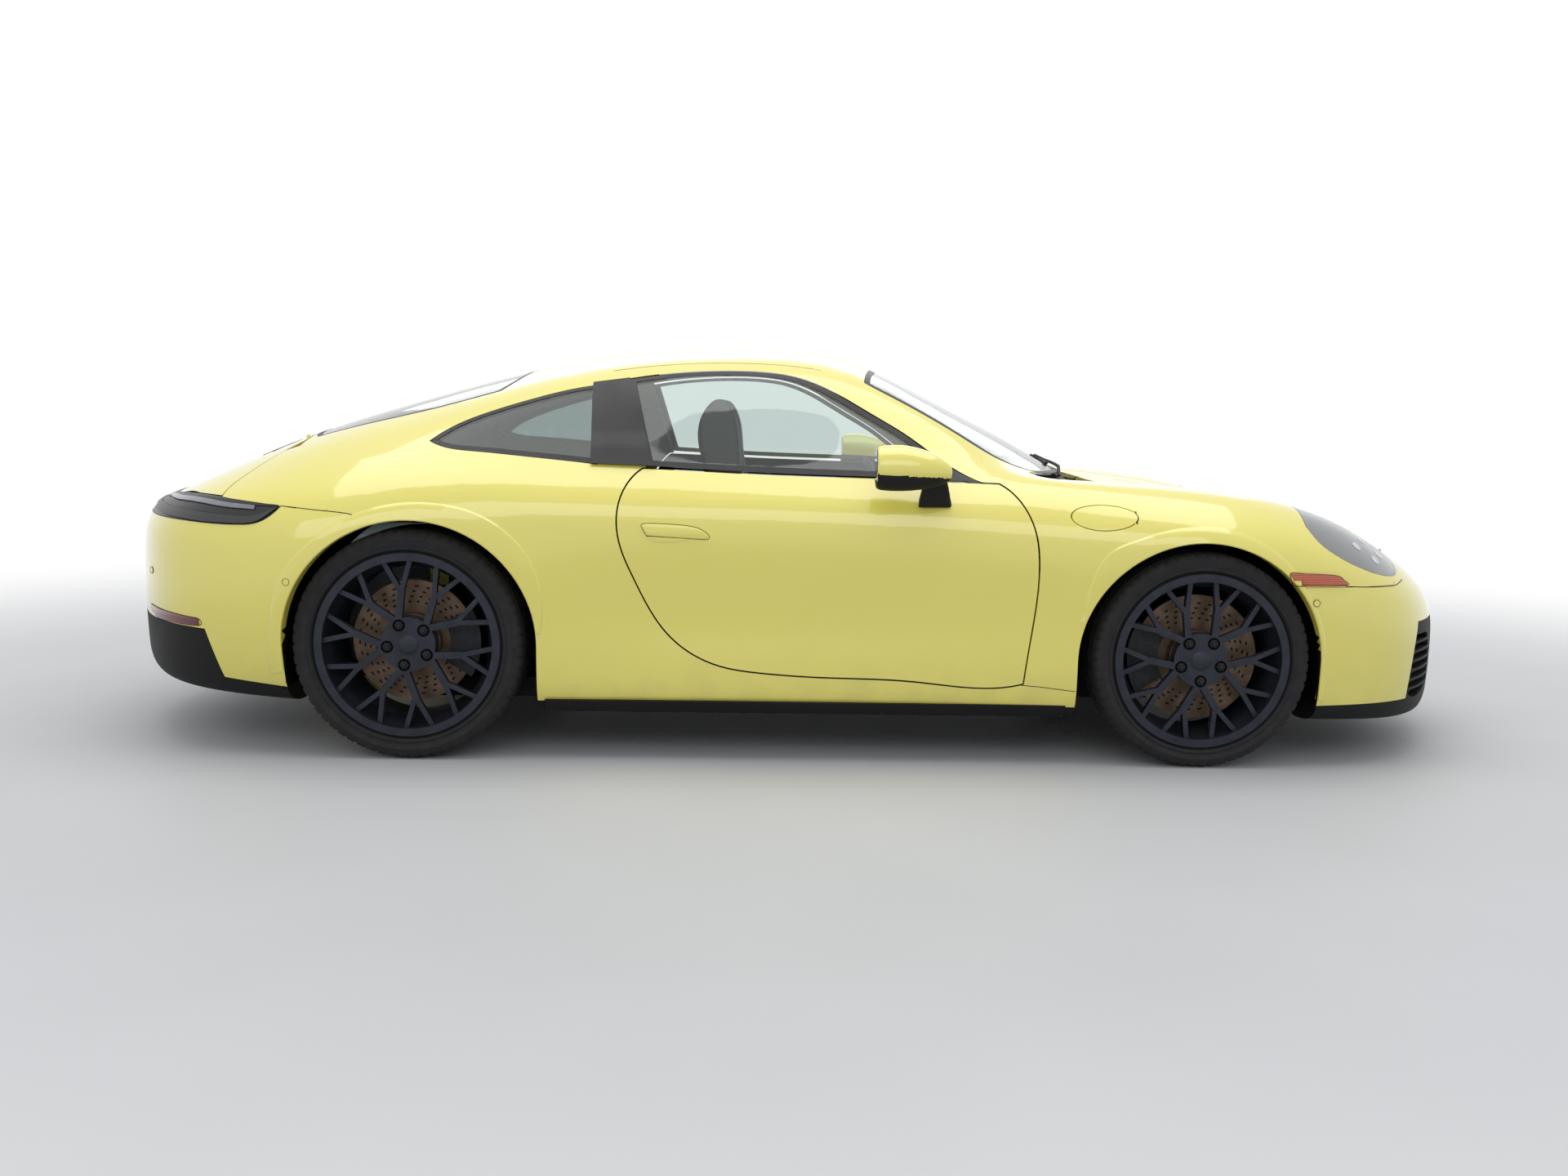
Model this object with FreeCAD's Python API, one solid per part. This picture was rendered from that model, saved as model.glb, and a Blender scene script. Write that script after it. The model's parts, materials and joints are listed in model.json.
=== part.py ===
import FreeCAD, Part
import math
import os

os.makedirs("parts", exist_ok=True)
V = FreeCAD.Vector

# Driving sizes of the car, mm. X forward, Y left, Z up, ground at zero.
length = 4542.0
body_width = 1852.0
height = 1302.0
wheelbase = 2450.0
front_axle_x = 1234.0
front_wheel_radius = 337.0
rear_wheel_radius = 356.0
front_tyre_y = 770.0
rear_tyre_y = 741.0
kingpin_y = 720.0

# Gaps and running clearances
shut_gap = 5.0
running_gap = 0.3
pin_gap = 0.4
overrun = 60.0

# Wall thicknesses
glass_thickness = 5.0
glass_recess = 2.0
lid_thickness = 24.0
lid_seat_gap = 5.5

half_length = length / 2
half_width = body_width / 2
rear_axle_x = front_axle_x - wheelbase

station_shares = [
    -1, -0.995, -0.983, -0.956, -0.898, -0.815, -0.705, -0.608, -0.535, -0.44, -0.343, -0.22,
    -0.079, 0.062, 0.203, 0.317, 0.423, 0.543, 0.661, 0.757, 0.837, 0.903, 0.951, 0.984, 0.996, 1,
]
skin_line_shares = {
    "floor edge": (
        [0.011, 0.078, 0.178, 0.356, 0.605, 0.691, 0.713, 0.724, 0.734, 0.745, 0.756, 0.767, 0.767,
         0.767, 0.767, 0.756, 0.745, 0.724, 0.702, 0.673, 0.629, 0.521, 0.33, 0.175, 0.078, 0.006],
        [0.313, 0.192, 0.18, 0.165, 0.146, 0.127, 0.115, 0.111, 0.108, 0.108, 0.108, 0.108, 0.108,
         0.108, 0.108, 0.108, 0.108, 0.108, 0.104, 0.096, 0.092, 0.092, 0.096, 0.108, 0.146, 0.227],
    ),
    "floor turn": (
        [0.015, 0.11, 0.251, 0.448, 0.713, 0.837, 0.886, 0.896, 0.902, 0.902, 0.898, 0.896, 0.896,
         0.896, 0.898, 0.902, 0.907, 0.913, 0.913, 0.868, 0.786, 0.613, 0.381, 0.219, 0.102, 0.009],
        [0.317, 0.223, 0.201, 0.184, 0.165, 0.146, 0.131, 0.123, 0.119, 0.117, 0.115, 0.115, 0.115,
         0.115, 0.115, 0.115, 0.115, 0.115, 0.111, 0.106, 0.101, 0.101, 0.108, 0.127, 0.165, 0.233],
    ),
    "sill": (
        [0.016, 0.123, 0.272, 0.475, 0.751, 0.896, 0.956, 0.961, 0.961, 0.956, 0.948, 0.942, 0.94,
         0.942, 0.946, 0.95, 0.959, 0.967, 0.967, 0.917, 0.825, 0.648, 0.413, 0.243, 0.112, 0.01],
        [0.323, 0.269, 0.253, 0.242, 0.23, 0.223, 0.219, 0.215, 0.211, 0.201, 0.192, 0.188, 0.187,
         0.186, 0.184, 0.184, 0.186, 0.188, 0.184, 0.177, 0.169, 0.163, 0.161, 0.165, 0.192, 0.238],
    ),
    "door foot": (
        [0.017, 0.13, 0.287, 0.488, 0.769, 0.927, 0.985, 0.996, 0.994, 0.977, 0.956, 0.937, 0.933,
         0.935, 0.942, 0.95, 0.967, 0.985, 0.981, 0.931, 0.837, 0.66, 0.421, 0.251, 0.118, 0.011],
        [0.33, 0.33, 0.323, 0.319, 0.319, 0.323, 0.326, 0.326, 0.326, 0.323, 0.316, 0.313, 0.311,
         0.311, 0.311, 0.311, 0.311, 0.313, 0.307, 0.292, 0.269, 0.244, 0.223, 0.207, 0.218, 0.243],
    ),
    "widest": (
        [0.017, 0.132, 0.292, 0.492, 0.773, 0.933, 0.991, 1, 1, 0.988, 0.97, 0.952, 0.948, 0.95,
         0.955, 0.963, 0.977, 0.998, 0.989, 0.935, 0.839, 0.662, 0.423, 0.253, 0.119, 0.011],
        [0.336, 0.384, 0.388, 0.396, 0.407, 0.422, 0.434, 0.442, 0.445, 0.442, 0.436, 0.43, 0.427,
         0.426, 0.426, 0.426, 0.426, 0.426, 0.419, 0.388, 0.346, 0.301, 0.267, 0.243, 0.243, 0.248],
    ),
    "shoulder low": (
        [0.017, 0.13, 0.287, 0.486, 0.765, 0.918, 0.977, 0.989, 0.994, 0.985, 0.974, 0.964, 0.961,
         0.962, 0.964, 0.97, 0.978, 0.989, 0.974, 0.917, 0.825, 0.654, 0.419, 0.251, 0.118, 0.011],
        [0.341, 0.422, 0.442, 0.472, 0.499, 0.522, 0.538, 0.547, 0.549, 0.547, 0.541, 0.538, 0.536,
         0.535, 0.534, 0.531, 0.53, 0.526, 0.507, 0.461, 0.401, 0.349, 0.306, 0.276, 0.269, 0.253],
    ),
    "shoulder": (
        [0.016, 0.119, 0.267, 0.459, 0.726, 0.864, 0.918, 0.942, 0.955, 0.959, 0.955, 0.946, 0.942,
         0.94, 0.937, 0.935, 0.935, 0.935, 0.916, 0.857, 0.775, 0.62, 0.398, 0.238, 0.111, 0.01],
        [0.343, 0.438, 0.476, 0.526, 0.557, 0.588, 0.614, 0.624, 0.628, 0.628, 0.624, 0.619, 0.617,
         0.614, 0.612, 0.608, 0.604, 0.595, 0.57, 0.519, 0.452, 0.39, 0.343, 0.309, 0.289, 0.257],
    ),
    "belt": (
        [0.013, 0.102, 0.228, 0.4, 0.637, 0.767, 0.821, 0.855, 0.877, 0.883, 0.877, 0.868, 0.864,
         0.86, 0.849, 0.832, 0.808, 0.788, 0.769, 0.725, 0.663, 0.535, 0.348, 0.206, 0.097, 0.009],
        [0.344, 0.445, 0.495, 0.561, 0.59, 0.626, 0.664, 0.684, 0.691, 0.697, 0.695, 0.693, 0.688,
         0.684, 0.679, 0.679, 0.671, 0.661, 0.632, 0.579, 0.499, 0.427, 0.375, 0.335, 0.307, 0.261],
    ),
    "glass foot": (
        [0.011, 0.08, 0.184, 0.329, 0.54, 0.67, 0.726, 0.751, 0.765, 0.762, 0.756, 0.747, 0.741,
         0.734, 0.726, 0.691, 0.648, 0.621, 0.603, 0.565, 0.518, 0.422, 0.279, 0.165, 0.078, 0.006],
        [0.345, 0.45, 0.503, 0.575, 0.604, 0.65, 0.7, 0.73, 0.747, 0.777, 0.803, 0.818, 0.822,
         0.814, 0.757, 0.691, 0.667, 0.652, 0.621, 0.572, 0.511, 0.449, 0.398, 0.355, 0.321, 0.264],
    ),
    "rail": (
        [0.008, 0.058, 0.134, 0.254, 0.432, 0.54, 0.589, 0.605, 0.613, 0.616, 0.618, 0.621, 0.621,
         0.616, 0.626, 0.551, 0.475, 0.459, 0.445, 0.418, 0.384, 0.312, 0.207, 0.123, 0.059, 0.005],
        [0.345, 0.453, 0.507, 0.581, 0.614, 0.671, 0.736, 0.78, 0.808, 0.851, 0.891, 0.92, 0.928,
         0.914, 0.806, 0.718, 0.667, 0.647, 0.615, 0.57, 0.517, 0.464, 0.416, 0.369, 0.332, 0.267],
    ),
    "roof side": (
        [0.004, 0.032, 0.072, 0.138, 0.238, 0.297, 0.324, 0.333, 0.337, 0.343, 0.35, 0.356, 0.359,
         0.356, 0.367, 0.313, 0.243, 0.232, 0.225, 0.212, 0.193, 0.158, 0.105, 0.063, 0.03, 0.002],
        [0.346, 0.455, 0.51, 0.588, 0.624, 0.691, 0.768, 0.82, 0.857, 0.902, 0.94, 0.971, 0.981,
         0.962, 0.846, 0.757, 0.667, 0.646, 0.611, 0.568, 0.522, 0.476, 0.429, 0.38, 0.339, 0.27],
    ),
    "crown": (
        [0, 0, 0, 0, 0, 0, 0, 0, 0, 0, 0, 0, 0, 0, 0, 0, 0, 0, 0, 0, 0, 0, 0, 0, 0, 0],
        [0.346, 0.456, 0.512, 0.591, 0.628, 0.697, 0.779, 0.833, 0.871, 0.917, 0.955, 0.987, 0.999,
         0.978, 0.865, 0.77, 0.667, 0.645, 0.61, 0.567, 0.525, 0.483, 0.439, 0.388, 0.344, 0.271],
    ),
}
door_shares = [
    [(-0.2215, 0.6951), (-0.2453, 0.6475), (-0.2541, 0.5822), (-0.2492, 0.5161),
         (-0.2321, 0.4432), (-0.2109, 0.3694), (-0.1854, 0.3065), (-0.1515, 0.2588),
         (-0.1132, 0.2304), (-0.0621, 0.2158), (0.0229, 0.2066), (0.1502, 0.1997), (0.295, 0.1959)],
    [(0.2999, 0.1982), (0.3078, 0.3065), (0.3144, 0.4117), (0.3144, 0.5), (0.3104, 0.5515),
         (0.2977, 0.6106), (0.2823, 0.6467)],
    [(0.2642, 0.6697), (0.1673, 0.6751), (0.0661, 0.6797), (-0.0661, 0.6851),
         (-0.1453, 0.6905)],
]
door_window_shares = [
    [(0.2475, 0.669), (0.1673, 0.6751), (0.0661, 0.6797), (-0.0661, 0.6851), (-0.1541, 0.6912)],
    [(-0.2175, 0.6966), (-0.2334, 0.7988)],
    [(-0.2497, 0.9071), (-0.1977, 0.9209), (-0.1286, 0.9301), (-0.0678, 0.9301),
         (-0.011, 0.9171), (0.037, 0.8848), (0.0854, 0.8372), (0.1431, 0.778), (0.1968, 0.7112)],
]
quarter_window_shares = [
    [(-0.2827, 0.7012), (-0.3655, 0.7151), (-0.45, 0.7273), (-0.4985, 0.7373)],
    [(-0.5178, 0.7496), (-0.4905, 0.7834), (-0.4386, 0.8226), (-0.3734, 0.8587),
         (-0.3276, 0.8794)],
    [(-0.2884, 0.8909), (-0.2862, 0.7988)],
]
windscreen_shares = [
    [(0.3932, 0), (0.391, 0.1944), (0.3822, 0.378), (0.362, 0.54)],
    [(0.3267, 0.6674), (0.273, 0.6847), (0.229, 0.6663), (0.1761, 0.6458), (0.1233, 0.6231),
         (0.0991, 0.6069)],
    [(0.0837, 0.5886), (0.0903, 0.4536), (0.1013, 0.2376), (0.1039, 0), (0.1013, -0.2376),
         (0.0903, -0.4536)],
    [(0.0837, -0.5886), (0.0991, -0.6069), (0.1233, -0.6231), (0.1761, -0.6458),
         (0.229, -0.6663), (0.273, -0.6847)],
    [(0.3267, -0.6674), (0.362, -0.54), (0.3822, -0.378), (0.391, -0.1944)],
]
rear_window_shares = [
    [(-0.3985, 0), (-0.4029, -0.2376), (-0.4139, -0.432)],
    [(-0.4337, -0.5454), (-0.5284, -0.5529), (-0.6165, -0.54)],
    [(-0.7001, -0.5076), (-0.7169, -0.3564), (-0.7221, -0.162), (-0.723, 0), (-0.7221, 0.162),
         (-0.7169, 0.3564)],
    [(-0.7001, 0.5076), (-0.6165, 0.54), (-0.5284, 0.5529)],
    [(-0.4337, 0.5454), (-0.4139, 0.432), (-0.4029, 0.2376)],
]
front_lid_shares = [
    [(0.413, 0), (0.4157, -0.1944), (0.4227, -0.378), (0.4359, -0.54)],
    [(0.4535, -0.635), (0.5196, -0.6371), (0.6165, -0.6112), (0.7045, -0.5616),
         (0.7838, -0.4989), (0.8366, -0.432)],
    [(0.8666, -0.3564), (0.8763, -0.216), (0.8807, 0), (0.8763, 0.216)],
    [(0.8666, 0.3564), (0.8366, 0.432), (0.7838, 0.4989), (0.7045, 0.5616), (0.6165, 0.6112),
         (0.5196, 0.6371)],
    [(0.4535, 0.635), (0.4359, 0.54), (0.4227, 0.378), (0.4157, 0.1944)],
]
cowl_shares = [
    [(0.3901, 0), (0.3875, 0.1944), (0.3787, 0.378), (0.3576, 0.54)],
    [(0.3236, 0.6782), (0.317, 0.7451), (0.3347, 0.7775), (0.3963, 0.7451), (0.4535, 0.6911)],
    [(0.4632, 0.6587), (0.4606, 0.6048), (0.4456, 0.54), (0.4324, 0.378), (0.4254, 0.1944),
         (0.4227, 0), (0.4254, -0.1944), (0.4324, -0.378), (0.4456, -0.54), (0.4606, -0.6048)],
    [(0.4632, -0.6587), (0.4535, -0.6911), (0.3963, -0.7451), (0.3347, -0.7775),
         (0.317, -0.7451)],
    [(0.3236, -0.6782), (0.3576, -0.54), (0.3787, -0.378), (0.3875, -0.1944)],
]
rear_lid_shares = [
    [(-0.731, 0), (-0.7301, -0.1944), (-0.7248, -0.3672)],
    [(-0.7221, -0.4752), (-0.7442, -0.6048), (-0.7684, -0.7084), (-0.7878, -0.7937)],
    [(-0.7935, -0.8488)],
    [(-0.7992, -0.9935)],
    [(-1.0216, -0.9935)],
    [(-1.0216, 0.9935)],
    [(-0.7992, 0.9935)],
    [(-0.7935, 0.8488), (-0.7878, 0.7937), (-0.7684, 0.7084), (-0.7442, 0.6048)],
    [(-0.7221, 0.4752), (-0.7248, 0.3672), (-0.7301, 0.1944)],
]
tail_lamp_shares = [
    [(-0.701, 0.596), (-0.712, 0.5768), (-0.7235, 0.563), (-0.7376, 0.5545)],
    [(-0.7574, 0.5515), (-0.7935, 0.5515), (-0.834, 0.5545), (-0.8719, 0.5568),
         (-0.9467, 0.5591)],
    [(-1.0216, 0.5591)],
    [(-1.0216, 0.5883)],
    [(-0.9379, 0.5906), (-0.8939, 0.6014), (-0.8679, 0.6114)],
    [(-0.8366, 0.6129), (-0.7768, 0.6091), (-0.7376, 0.6029)],
]
headlamp_shares = [
    [(0.6911, 0.6237), (0.7613, 0.6167), (0.8294, 0.5998), (0.8877, 0.5668), (0.9179, 0.53),
         (0.9125, 0.4992), (0.879, 0.4716), (0.8099, 0.4578), (0.7343, 0.467), (0.6587, 0.4954),
         (0.6069, 0.5376), (0.6026, 0.5799), (0.6371, 0.6121)],
]
rear_apron_shares = [
    [(-1.0216, 0.3141), (-0.9031, 0.3118), (-0.8388, 0.3072)],
    [(-0.8093, 0.3041)],
    [(-0.7878, 0.1859)],
    [(-0.7133, 0.1705)],
    [(-0.6957, 0.1659)],
    [(-0.6957, 0.0461)],
    [(-1.0216, 0.0461)],
]
front_bumper_shares = [
    [(0.6341, 0.4401), (0.8199, 0.4386)],
    [(0.8199, 0.4386), (0.8296, 0.4916)],
    [(0.8322, 0.6912), (1.0216, 0.6912)],
    [(1.0216, 0.6912), (1.0216, 0.0461)],
    [(1.0216, 0.0461)],
    [(0.6341, 0.0461)],
]
front_intake_shares = [
    [(0.8542, 0.1321), (0.86, 0.2174), (0.867, 0.2957)],
    [(0.8714, 0.3433), (1.0216, 0.3433)],
    [(1.0216, 0.3433), (1.0216, 0.1321)],
    [(1.0216, 0.1321), (0.9247, 0.1321)],
]
rear_bumper_shares = [
    [(-0.5504, 0.5469), (-0.5773, 0.5599), (-0.6063, 0.5814), (-0.6565, 0.5899)],
    [(-0.701, 0.596)],
    [(-0.7486, 0.5722)],
    [(-1.0216, 0.5722)],
    [(-1.0216, 0.0461)],
    [(-0.5504, 0.0461)],
]
fender_shares = [
    [(0.3144, 0.4301), (0.3144, 0.5), (0.3104, 0.5515), (0.2977, 0.6106), (0.2823, 0.6467)],
    [(0.2642, 0.6697), (0.2466, 0.7066)],
    [(0.3347, 0.768), (0.8631, 0.768)],
    [(0.8631, 0.768), (0.8631, 0.1935)],
    [(0.8631, 0.1935)],
    [(0.2999, 0.1935), (0.3078, 0.3065)],
]
side_mouth_shares = [
    [(0.5886, 0.1782), (0.7883, 0.1736)],
    [(0.8078, 0.2304), (0.7948, 0.3011)],
    [(0.6587, 0.3057), (0.6048, 0.2535)],
]
middle_mouth_shares = [
    [(-0.324, 0.1751), (0.324, 0.1751)],
    [(0.3434, 0.2012), (0.324, 0.2227)],
    [(-0.324, 0.2227), (-0.3434, 0.2012)],
]


def scaled(shares, unit_a, unit_b):
    return [[(a * unit_a, b * unit_b) for a, b in run] for run in shares]


def side_outline(shares):
    return scaled(shares, half_length, height)


def plan_outline(shares):
    return scaled(shares, half_length, half_width)


def front_outline(shares):
    return scaled(shares, half_width, height)


def grown(runs, grow):
    """Move each point of a closed outline outwards by grow."""
    flat = [p for run in runs for p in run]
    flat = [p for i, p in enumerate(flat) if p != flat[i - 1]]
    n = len(flat)
    area = sum(flat[i - 1][0] * flat[i][1] - flat[i][0] * flat[i - 1][1] for i in range(n))
    turn = 1 if area > 0 else -1
    moved = {}
    for i in range(n):
        before, here, after = flat[i - 1], flat[i], flat[(i + 1) % n]
        normals = []
        for p, q in ((before, here), (here, after)):
            size = math.hypot(q[0] - p[0], q[1] - p[1])
            normals.append((turn * (q[1] - p[1]) / size, -turn * (q[0] - p[0]) / size))
        sx, sy = normals[0][0] + normals[1][0], normals[0][1] + normals[1][1]
        size = sx * sx + sy * sy
        step = 2 * grow / max(size, 1)
        moved[here] = (here[0] + sx * step, here[1] + sy * step)
    return [[moved[p] for p in run] for run in runs]


def wire_of(runs, place):
    """Closed wire: each run is a smooth curve that ends where the next begins."""
    edges = []
    for i, run in enumerate(runs):
        points = list(run)
        last = runs[(i + 1) % len(runs)][0]
        if len(runs) > 1 and points[-1] != last:
            points.append(last)
        spots = [place(a, b) for a, b in points]
        if len(runs) == 1:
            curve = Part.BSplineCurve()
            curve.interpolate(spots, PeriodicFlag=True)
            edges.append(curve.toShape())
        elif len(spots) == 2:
            edges.append(Part.makeLine(spots[0], spots[1]))
        else:
            curve = Part.BSplineCurve()
            curve.interpolate(spots)
            edges.append(curve.toShape())
    return Part.Wire(edges)


def prism(runs, along, low, high, grow=0.0):
    if grow:
        runs = grown(runs, grow)
    place = {
        "X": lambda a, b: V(low, a, b),
        "Y": lambda a, b: V(a, low, b),
        "Z": lambda a, b: V(a, b, low),
    }[along]
    way = {"X": V(high - low, 0, 0), "Y": V(0, high - low, 0), "Z": V(0, 0, high - low)}[along]
    return Part.Face(wire_of(runs, place)).extrude(way)


def box(x0, x1, y0, y1, z0, z1):
    return Part.makeBox(x1 - x0, y1 - y0, z1 - z0, V(x0, y0, z0))


def rod(radius, start, end):
    return Part.makeCylinder(radius, (end - start).Length, start, end - start)


def mirrored(shape):
    return shape.mirror(V(0, 0, 0), V(0, 1, 0))


def both(shape):
    return [shape, mirrored(shape)]


def fuse(*shapes):
    return shapes[0].fuse(list(shapes[1:]))


def biggest(shape):
    return max(shape.Solids, key=lambda s: s.Volume)


# Body skin: one surface over the whole car, from tail to nose and from sill to sill
line_names = list(skin_line_shares)


def skin_grid(first, last, depths):
    """Points of the skin, moved inwards in their own section by each line's depth."""
    grid = []
    for i in range(len(station_shares)):
        right = []
        for name in line_names:
            y_shares, z_shares = skin_line_shares[name]
            right.append((-y_shares[i] * half_width, z_shares[i] * height))
        left = [(-y, z) for y, z in right[-2::-1]]
        grid.append([V(station_shares[i] * half_length, y, z) for y, z in right + left])
    if not any(depths):
        return grid[first:last]
    side = len(line_names)
    spread = list(depths) + list(depths[-2::-1])
    moved = []
    for i in range(first, last):
        row = []
        for j, p in enumerate(grid[i]):
            near, far = grid[i][max(j - 1, 0)], grid[i][min(j + 1, 2 * side - 2)]
            across = far - near
            along = grid[min(i + 1, len(grid) - 1)][j] - grid[max(i - 1, 0)][j]
            normal = across.cross(along).normalize()
            flat = math.hypot(normal.y, normal.z)
            step = spread[j] / max(flat, 0.5) / flat
            row.append(V(p.x, p.y + normal.y * step, p.z + normal.z * step))
        moved.append(row)
    return moved


def smoothed(points):
    inner = [(points[k] * 8 - points[k - 1] - points[k + 1]) / 6 for k in range(1, len(points) - 1)]
    return [points[0]] + inner + [points[-1]]


def skin_solid(depths, first=0, last=len(station_shares)):
    grid = skin_grid(first, last, depths)
    grid = [smoothed(row) for row in grid]
    columns = [smoothed([row[j] for row in grid]) for j in range(len(grid[0]))]
    poles = [[column[i] for column in columns] for i in range(len(grid))]
    surface = Part.BSplineSurface()
    counts = len(poles), len(poles[0])
    knots = [list(range(c - 2)) for c in counts]
    mults = [[4] + [1] * (c - 4) + [4] for c in counts]
    surface.buildFromPolesMultsKnots(poles, mults[0], mults[1], knots[0], knots[1], False, False, 3, 3)
    top = surface.toShape()
    lines = []
    for pick in (0, -1):
        curve = Part.BSplineCurve()
        curve.buildFromPolesMultsKnots([row[pick] for row in poles], mults[0], knots[0], False, 3)
        lines.append(curve.toShape())
    faces = [top, Part.makeRuledSurface(lines[0], lines[1])]
    for pick in (0, -1):
        curve = Part.BSplineCurve()
        curve.buildFromPolesMultsKnots(poles[pick], mults[1], knots[1], False, 3)
        close = Part.makeLine(poles[pick][-1], poles[pick][0])
        faces.append(Part.Face(Part.Wire([curve.toShape(), close])))
    shell = Part.makeShell(faces)
    if not shell.isClosed():
        shell.sewShape()
    solid = Part.makeSolid(Part.Shell(shell.Faces) if not shell.isClosed() else shell)
    if solid.Volume < 0:
        solid.reverse()
    return solid


thin_wall = 15.0


def even_skin(depth):
    ends = 2 if depth < thin_wall else 3
    return skin_solid([depth] * len(line_names), ends, len(station_shares) - ends)


parts = {}
outer = skin_solid([0] * len(line_names))

# Cabin: the walls, doors, roof and floor as thick as the real ones
cabin_depths = [62.0, 90.0, 105.0, 105.0, 100.0, 95.0, 88.0, 72.0, 46.0, 42.0, 38.0, 36.0]
firewall_x = 780.0
rear_shelf_x = -1150.0
rear_glass_x = -1600.0
rear_shelf_z = 870.0
cabin = skin_solid(cabin_depths, 5, 18)
wide = body_width
cabin_room = fuse(
    box(rear_shelf_x, firewall_x, -wide, wide, 0, height),
    box(rear_glass_x, rear_shelf_x, -wide, wide, rear_shelf_z, height),
)
cabin = cabin.common(cabin_room)

# Rooms under the lids
under_lid = even_skin(lid_thickness + lid_seat_gap)
tub_x0, tub_x1, tub_y, tub_z = 1040.0, 1880.0, 400.0, 290.0
tub = under_lid.common(box(tub_x0, tub_x1, -tub_y, tub_y, tub_z, height))
bay_x0, bay_x1, bay_y, bay_z = -2040.0, -1290.0, 430.0, 215.0
bay_top_z, bay_neck_x = 810.0, -1690.0
bay = under_lid.common(fuse(
    box(bay_x0, bay_x1, -bay_y, bay_y, bay_z, bay_top_z),
    box(bay_x0, bay_neck_x, -bay_y, bay_y, bay_z, height),
))

# Wheel arches: the opening in the skin and the wider well behind it
front_arch = {"x": 1223.0, "z": 328.0, "radius": 377.0, "well": 392.0, "inner_y": 458.0, "lip_y": 868.0}
rear_arch = {"x": -1206.0, "z": 356.0, "radius": 385.0, "well": 396.0, "inner_y": 562.0, "lip_y": 868.0}
for arch, axle_x, axle_z in (
    (front_arch, front_axle_x, front_wheel_radius),
    (rear_arch, rear_axle_x, rear_wheel_radius),
):
    opening = fuse(
        rod(arch["radius"], V(arch["x"], -wide, arch["z"]), V(arch["x"], -arch["inner_y"], arch["z"])),
        box(arch["x"] - arch["radius"], arch["x"] + arch["radius"], -wide, -arch["inner_y"], 0, arch["z"]),
    )
    well = rod(arch["well"], V(axle_x, -arch["lip_y"], axle_z), V(axle_x, -arch["inner_y"], axle_z))
    arch["cut"] = fuse(opening, well)

arch_cuts = both(front_arch["cut"]) + both(rear_arch["cut"])

core_depth = 58.0
core = even_skin(core_depth)
layer = outer.cut(core)
side_y0, side_y1 = -1200.0, -450.0

# Doors: whole thickness, stepped inwards past the outer panel
half_gap = shut_gap / 2
door_runs = side_outline(door_shares)
door_depth = 40.0
door_step = 14.0
door_hole = prism(door_runs, "Y", side_y0, side_y1, half_gap)
door_block = prism(door_runs, "Y", side_y0, side_y1, -half_gap)
door_inner = prism(door_runs, "Y", side_y0, side_y1, -half_gap - door_step)
door_skin = outer.common(door_block)
door_front = door_skin.cut(skin_solid([door_depth] * len(line_names), 5, 18))
door = fuse(door_front, outer.common(door_inner).cut(cabin))

# Glass: panes set just below the skin
glass_skin = even_skin(glass_recess).cut(even_skin(glass_recess + glass_thickness))
window_z0 = 800.0
tuck = 14.0
door_window_runs = side_outline(door_window_shares)
quarter_runs = side_outline(quarter_window_shares)
windscreen_runs = plan_outline(windscreen_shares)
rear_window_runs = plan_outline(rear_window_shares)
door_window_hole = prism(door_window_runs, "Y", side_y0, side_y1)
quarter_hole = prism(quarter_runs, "Y", side_y0, side_y1)
windscreen_hole = prism(windscreen_runs, "Z", window_z0, height + overrun)
rear_window_hole = prism(rear_window_runs, "Z", window_z0, height + overrun)
pane = prism(door_window_runs, "Y", side_y0, side_y1, -shut_gap)
pane_foot = door_inner.common(prism(grown(door_window_runs, tuck), "Y", side_y0, side_y1))
door_glass = biggest(glass_skin.common(fuse(pane, pane_foot)))
door = biggest(door.cut([door_window_hole.cut(door_inner), door_glass]))
quarter_glass = biggest(glass_skin.common(quarter_hole))
windscreen = biggest(glass_skin.common(windscreen_hole))
rear_window = biggest(glass_skin.common(rear_window_hole))

# Lids over the front luggage tub and the engine
lid_z0 = 500.0
rear_lid_z0 = 750.0
lid_runs = plan_outline(front_lid_shares)
rear_lid_runs = plan_outline(rear_lid_shares)
lid_layer = outer.cut(even_skin(lid_thickness))
front_lid = biggest(lid_layer.common(prism(lid_runs, "Z", lid_z0, height, -half_gap)))
front_lid_hole = prism(lid_runs, "Z", lid_z0, height, half_gap).cut(under_lid)
tail_lamp_runs = side_outline(tail_lamp_shares)
tail_tool = prism(tail_lamp_runs, "Y", -wide, wide)
lamp_room = prism(tail_lamp_runs, "Y", -wide, wide, shut_gap)
rear_lid = biggest(lid_layer.common(prism(rear_lid_runs, "Z", rear_lid_z0, height, -half_gap)).cut(lamp_room))
rear_lid_hole = prism(rear_lid_runs, "Z", rear_lid_z0, height, half_gap).cut([under_lid, tail_tool])

# Cowl: a trough between the windscreen and the front lid, with a low black panel in it
cowl_depth = 42.0
cowl_drop = 20.0
cowl_block = prism(plan_outline(cowl_shares), "Z", window_z0 - overrun, height).cut(even_skin(cowl_depth))
cowl_room = cowl_block.common(even_skin(cowl_drop)).cut(prism(lid_runs, "Z", 0, height, shut_gap))
cowl = biggest(cowl_room.cut(windscreen_hole))

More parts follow.
